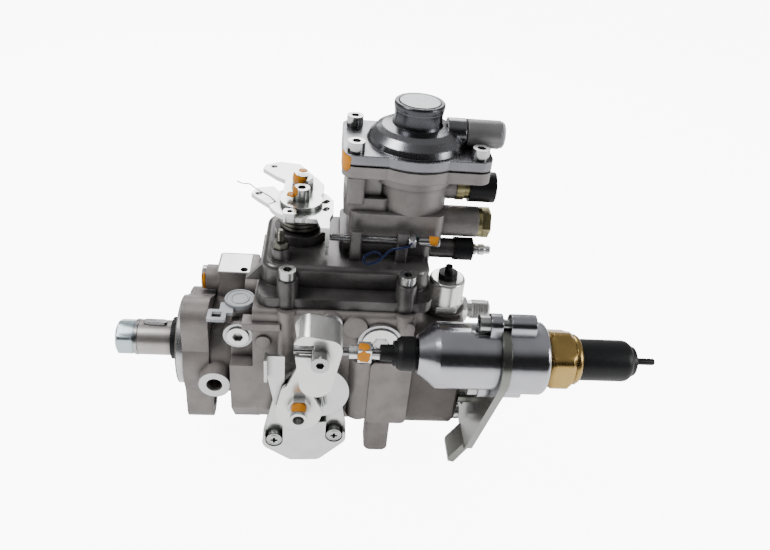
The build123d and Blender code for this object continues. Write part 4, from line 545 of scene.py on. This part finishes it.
# each rim: centre, inner and outer radius; the block: centre of its hole, and from there to its edges
# at -X, +X, -Y and +Y
machinedRims = dict(skin=0.05, steps=64,
                    rims=[((17.5, -37.0, -1.0), 4.25, 8.2), ((30.0, -31.5, 28.5), 5.7, 7.6),
                          ((77.0, -39.5, 44.6), 4.0, 5.9), ((103.0, -39.5, 33.0), 9.7, 11.6)],
                    blockHole=(29.5, 5.5, 45.0), holeR=2.1, blockSteps=360,
                    blockEdges=(13.6, 3.1, 2.6, 15.6))


def makeRims(s):
    bm = bmesh.new()
    thick = s["skin"]
    for centre, inner, outer in s["rims"]:
        profile = [(0, inner), (0, outer), (thick, outer - thick), (thick, inner), (0, inner)]
        addTurned(bm, profile, centre, (0, -1, 0), s["steps"])
    lowX, highX, lowY, highY = s["blockEdges"]
    edge = boxRadius(highX, lowX, highY, lowY)  # swapped, as the frame along Z is turned half round
    profile = [(0, s["holeR"]), (0, edge), (thick, edge), (thick, s["holeR"]), (0, s["holeR"])]
    addTurned(bm, profile, s["blockHole"], (0, 0, 1), s["blockSteps"])
    return finishMesh(bm)


addPiece("pilotSkin", makeTurned(pilotSkin), "pump", "machined")
addPiece("machinedRims", makeRims(machinedRims), "pump", "machined")

# Rings moulded on the cap of the fuel inlet
capRings = dict(at=(29.5, -15.0, 40.5), axis=(0, 0, 1), steps=64,
                profile=[(-0.3, 2.0), (-0.3, 7.9), (0.1, 7.9), (0.45, 7.6), (0.45, 6.9), (0.1, 6.6),
                         (0.06, 5.2), (0.4, 4.9), (0.4, 4.2), (0.1, 3.9), (0.05, 2.0)])
addPiece("inletCapRings", makeTurned(capRings), "pump", "milkPlastic")
print("stage 5: boost cover, machined faces and inlet cap")

# Lead-seal wires of the idle stud, looped round the post, and the free end of the throttle's return spring
sealLoop = dict(radius=0.42, turns=26,
                points=[(118.0, -14.0, 83.0), (116.5, -17.0, 82.0), (115.0, -17.6, 78.6),
                        (110.1, -18.5, 77.6), (105.2, -21.0, 78.6), (101.0, -24.0, 75.0),
                        (96.5, -25.8, 72.6), (92.6, -25.6, 72.0), (91.6, -23.2, 74.2),
                        (94.2, -22.0, 76.2), (98.0, -21.2, 77.2), (101.5, -22.6, 75.2),
                        (99.0, -25.0, 72.8), (95.0, -24.6, 72.4)])
sealTie = dict(radius=0.36, turns=8, points=[(117.5, -16.6, 80.0), (118.4, -14.0, 83.0),
                                             (119.2, -11.2, 80.0), (118.6, -14.0, 77.2),
                                             (117.0, -17.0, 80.6)])
returnWire = dict(radius=0.33, turns=0,
                  points=[(50.0, 4.5, 84.0), (45.0, 7.5, 88.6), (39.5, 9.0, 91.0), (35.0, 11.5, 92.2),
                          (32.0, 15.5, 92.6), (28.5, 15.0, 92.2), (25.4, 18.3, 92.0)])
addPiece("sealLoop", makeWire(sealLoop, "sealWire"), "pump", "sealWire")
addPiece("sealTie", makeWire(sealTie, "greenPaint"), "pump", "greenPaint")
addPiece("returnWire", makeWire(returnWire, "steel"), "throttle", "steel")

# Legs of the cold-start lever's torsion spring, the first hooked over the lever's edge
legWire = dict(radius=0.45, turns=0)
torsionLegs = dict(torsionLeg1=[(76.6, -46.4, -4.0), (76.2, -46.5, 3.0), (73.6, -46.6, 8.4),
                                (70.4, -46.8, 12.6), (68.6, -48.0, 16.4), (68.2, -51.6, 17.2)],
                   torsionLeg2=[(75.4, -47.2, -4.4), (75.0, -47.3, 2.4), (72.4, -47.4, 7.6),
                                (69.2, -47.6, 11.6), (66.2, -47.8, 14.6), (63.6, -47.9, 16.0)])
for name, points in torsionLegs.items():
    leg = makeWire(dict(legWire, points=points), "steel")
    addPiece(name, leg, "cold_lever", "steel")
print("stage 6: wires")


# Orange inspection paint, a thin closed skin over a flat or round face
def onCylinder(origin, axis, radius, turn):
    # place for a patch: its first number runs round the cylinder, the second along it
    place = axisFrame(origin, axis)

    def at(a, b, height):
        angle, r = radians(turn) + a / radius, radius + height
        return place @ (Vector((r * cos(angle), r * sin(angle), b)) * mm)
    return at


def onPlane(origin, axis):
    place = axisFrame(origin, axis)
    return lambda a, b, height: place @ (Vector((a, b, height)) * mm)


patchGrid = dict(rows=16, crease=60, waves=(5.3, 2.1, 4.7, 3.1), dome=4)
# each spot: name, body, the face it sits on, how far it reaches both ways, thickness, how its edge wanders
paintSpots = [
    ("paintValve", "pump", onPlane((6.45, 9.0, 37.0), (-1, 0, 0)), 6.0, 6.0, 0.35, 0.03),
    ("paintValveSide", "pump", onCylinder((7.9, 9.0, 37.0), (1, 0, 0), 6.42, 200), 9.0, 1.1, 0.25, 0.03),
    ("paintNutTop", "throttle", onPlane((59.6, 19.3, 99.85), (0, 0, 1)), 2.45, 2.45, 0.4, 0.02),
    ("paintNutSide", "throttle", onCylinder((59.6, 19.3, 95.9), (0, 0, 1), 4.85, 45), 6.4, 2.9, 0.6, 0.1),
    ("paintScrewFoot", "throttle", onPlane((54.4, 6.2, 92.25), (0, 0, 1)), 2.6, 3.2, 0.6, 0.1),
    ("paintScrewSide", "throttle", onCylinder((59.5, 7.0, 95.2), (0, 0, 1), 4.28, 34), 2.6, 3.0, 0.3, 0.1),
    ("paintStud", "pump", onCylinder((127.4, -14.0, 80.0), (1, 0, 0), 2.62, 90), 5.5, 2.6, 0.22, 0.1),
    ("paintEar", "pump", onCylinder((85.25, -5.7, 119.6), (0, 0, 1), 6.33, 22), 5.6, 4.9, 0.5, 0.12),
    ("paintRodStop", "rod", onPlane((93.0, -65.62, 46.0), (0, -1, 0)), 3.2, 3.3, 0.4, 0.14),
    ("paintRodTop", "rod", onPlane((92.8, -62.4, 49.62), (0, 0, 1)), 2.8, 2.8, 0.4, 0.14),
    ("paintPivot", "cold_lever", onCylinder((63.0, -56.6, 0.0), (0, 1, 0), 4.66, 90), 5.2, 4.2, 0.3, 0.06),
]


def makePatch(at, spanA, spanB, thick, wobble, s):
    # a square grid drawn round; both sides share its rim
    bm = bmesh.new()
    rows, (w1, w2, w3, w4) = s["rows"], s["waves"]
    low, high = {}, {}
    for i in range(rows + 1):
        for j in range(rows + 1):
            u, v = 2 * i / rows - 1, 2 * j / rows - 1
            rim = max(abs(u), abs(v))
            swing = 1 + wobble * (sin(w1 * u + w2 * v) + cos(w3 * v - w4 * u)) / 2
            rounding = rim * swing / ((u * u + v * v) ** 0.5 or 1)
            a, b = u * spanA * rounding, v * spanB * rounding
            low[i, j] = high[i, j] = bm.verts.new(at(a, b, 0))
            if rim < 1:
                high[i, j] = bm.verts.new(at(a, b, thick * (1 - rim ** s["dome"])))
    for i in range(rows):
        for j in range(rows):
            cornerShade = ((i, j), (i, j + 1), (i + 1, j + 1), (i + 1, j))
            bm.faces.new([low[c] for c in cornerShade])
            bm.faces.new([high[c] for c in reversed(cornerShade)])
    return finishMesh(bm, s["crease"])


for name, body, *shape in paintSpots:
    addPiece(name, makePatch(*shape, patchGrid), body, "orangePaint")
print("stage 7: paint")

# Pan heads with a cross recess on the cold-start cover's screws
crossHeads = dict(face=-43.5, spots=((49.8, -30.0), (82.1, -25.5)), axis=(0, -1, 0), steps=96,
                  profile=[(0, 4.02), (0.15, 4.32), (2.9, 4.32), (3.7, 3.97), (4.2, 3.22), (4.5, 2.1),
                           (4.5, crossRadius(0.62, 1.95)), (2.4, crossRadius(0.434, 1.365))])
# Bright insert at the bottom of the large gallery plug's socket
plugInsert = dict(at=(103.0, -38.3, 33.0), axis=(0, -1, 0), steps=48,
                  profile=[(0, 4.2), (1.2, 4.2), (1.5, 3.9), (1.5, 3.5), (1.1, 2.9), (1.1, 1.0)])


def makeCrossHeads(s):
    bm = bmesh.new()
    for x, z in s["spots"]:
        addTurned(bm, s["profile"], (x, s["face"], z), s["axis"], s["steps"])
    return finishMesh(bm)


addPiece("crossHeads", makeCrossHeads(crossHeads), "pump", "boltZinc")
addPiece("plugInsert", makeTurned(plugInsert), "pump", "machined")
print("stage 8: screw heads and plug insert")

# Camera, fitted to the photograph: where it stands in metres, how it is turned in degrees, its lens in mm
camera = dict(place=(0.070, -0.3207, 0.2625), yaw=6.42, pitch=33.46, roll=6.09, lens=33.1, sensor=36,
              clip=0.01)


def placeCamera(s):
    yaw, pitch, roll = (radians(s[k]) for k in ("yaw", "pitch", "roll"))
    ahead = Vector((sin(yaw) * cos(pitch), cos(yaw) * cos(pitch), -sin(pitch)))
    right = Vector((cos(yaw), -sin(yaw), 0))
    up = right.cross(ahead)
    rolledRight = right * cos(roll) + up * sin(roll)
    rolledUp = up * cos(roll) - right * sin(roll)
    data = bpy.data.cameras.new("camera")
    data.lens = s["lens"]
    data.sensor_width = s["sensor"]
    data.clip_start = s["clip"]
    cam = bpy.data.objects.new("camera", data)
    bpy.context.collection.objects.link(cam)
    turn = Matrix((rolledRight, rolledUp, -ahead)).transposed().to_4x4()
    cam.matrix_world = Matrix.Translation(s["place"]) @ turn
    bpy.context.scene.camera = cam


# Plain floor, lit from itself; it looks white to the camera and glows less on the metal
floorSizes = dict(z=cadBox[0][2] - 0.002, size=6.0, colour=(0.9, 0.9, 0.9), rough=0.8, glow=0.75,
                  seenGlow=9.0)


def makeFloor(s):
    half, z = s["size"] / 2, s["z"]
    mesh = bpy.data.meshes.new("floor")
    cornerShade = [(-half, -half, z), (half, -half, z), (half, half, z), (-half, half, z)]
    mesh.from_pydata(cornerShade, [], [(0, 1, 2, 3)])
    floor = bpy.data.objects.new("floor", mesh)
    bpy.context.collection.objects.link(floor)
    mat = bpy.data.materials.new("floorWhite")
    mat.use_nodes = True
    add, link = mat.node_tree.nodes.new, mat.node_tree.links.new
    shader = mat.node_tree.nodes["Principled BSDF"]
    shader.inputs["Base Color"].default_value = (*s["colour"], 1)
    shader.inputs["Roughness"].default_value = s["rough"]
    shader.inputs["Emission Color"].default_value = (1, 1, 1, 1)
    sight = add("ShaderNodeLightPath")
    glow = add("ShaderNodeMapRange")
    glow.inputs["To Min"].default_value = s["glow"]
    glow.inputs["To Max"].default_value = s["seenGlow"]
    link(sight.outputs["Is Camera Ray"], glow.inputs["Value"])
    link(glow.outputs["Result"], shader.inputs["Emission Strength"])
    mesh.materials.append(mat)


# World: bright overhead and behind, dim towards the camera, so that polished metal shows a dark band;
# seen directly it is even. The bands say over which part of a ray's Y and Z it changes.
worldSizes = dict(bright=0.42, dim=0.02, seen=1.0, frontBand=(-0.15, 0.45), topBand=(-0.62, -0.88))


def makeWorld(s):
    world = bpy.data.worlds.new("studio")
    world.use_nodes = True
    tree = world.node_tree
    add, link = tree.nodes.new, tree.links.new
    ray = add("ShaderNodeNewGeometry")
    part = add("ShaderNodeSeparateXYZ")
    link(ray.outputs["Incoming"], part.inputs["Vector"])
    bands = []
    for letter, band in (("Y", s["frontBand"]), ("Z", s["topBand"])):
        ramp = add("ShaderNodeMapRange")
        ramp.inputs["From Min"].default_value, ramp.inputs["From Max"].default_value = band
        link(part.outputs[letter], ramp.inputs["Value"])
        bands.append(ramp.outputs["Result"])
    low = add("ShaderNodeMath")
    low.operation = "SUBTRACT"
    low.inputs[0].default_value = 1
    link(bands[1], low.inputs[1])
    dim = add("ShaderNodeMath")
    dim.operation = "MULTIPLY"
    link(bands[0], dim.inputs[0])
    link(low.outputs[0], dim.inputs[1])
    level = add("ShaderNodeMapRange")
    level.inputs["To Min"].default_value = s["bright"]
    level.inputs["To Max"].default_value = s["dim"]
    link(dim.outputs[0], level.inputs["Value"])
    sight = add("ShaderNodeLightPath")
    seen = add("ShaderNodeMix")
    seen.inputs["B"].default_value = s["seen"]
    link(sight.outputs["Is Camera Ray"], seen.inputs["Factor"])
    link(level.outputs["Result"], seen.inputs["A"])
    link(seen.outputs["Result"], tree.nodes["Background"].inputs["Strength"])
    tree.nodes["Background"].inputs["Color"].default_value = (1, 1, 1, 1)
    bpy.context.scene.world = world


# Soft lights: name, place, what it points at, size in metres, power
lights = [
    ("key", (-0.45, -0.15, 0.75), (0.08, 0, 0.03), 0.35, 7),
    ("side", (0.75, -0.25, 0.30), (0.1, 0, 0.03), 0.25, 2.5),
    ("back", (0.1, 0.65, 0.55), (0.1, 0, 0.05), 0.5, 5),
]


def addLight(name, place, aim, size, power):
    data = bpy.data.lights.new(name, "AREA")
    data.size = size
    data.energy = power
    lamp = bpy.data.objects.new(name, data)
    bpy.context.collection.objects.link(lamp)
    lamp.location = place
    lamp.rotation_euler = (Vector(aim) - Vector(place)).to_track_quat("-Z", "Y").to_euler()


placeCamera(camera)
makeFloor(floorSizes)
makeWorld(worldSizes)
for light in lights:
    addLight(*light)
print("stage 9: camera and studio")
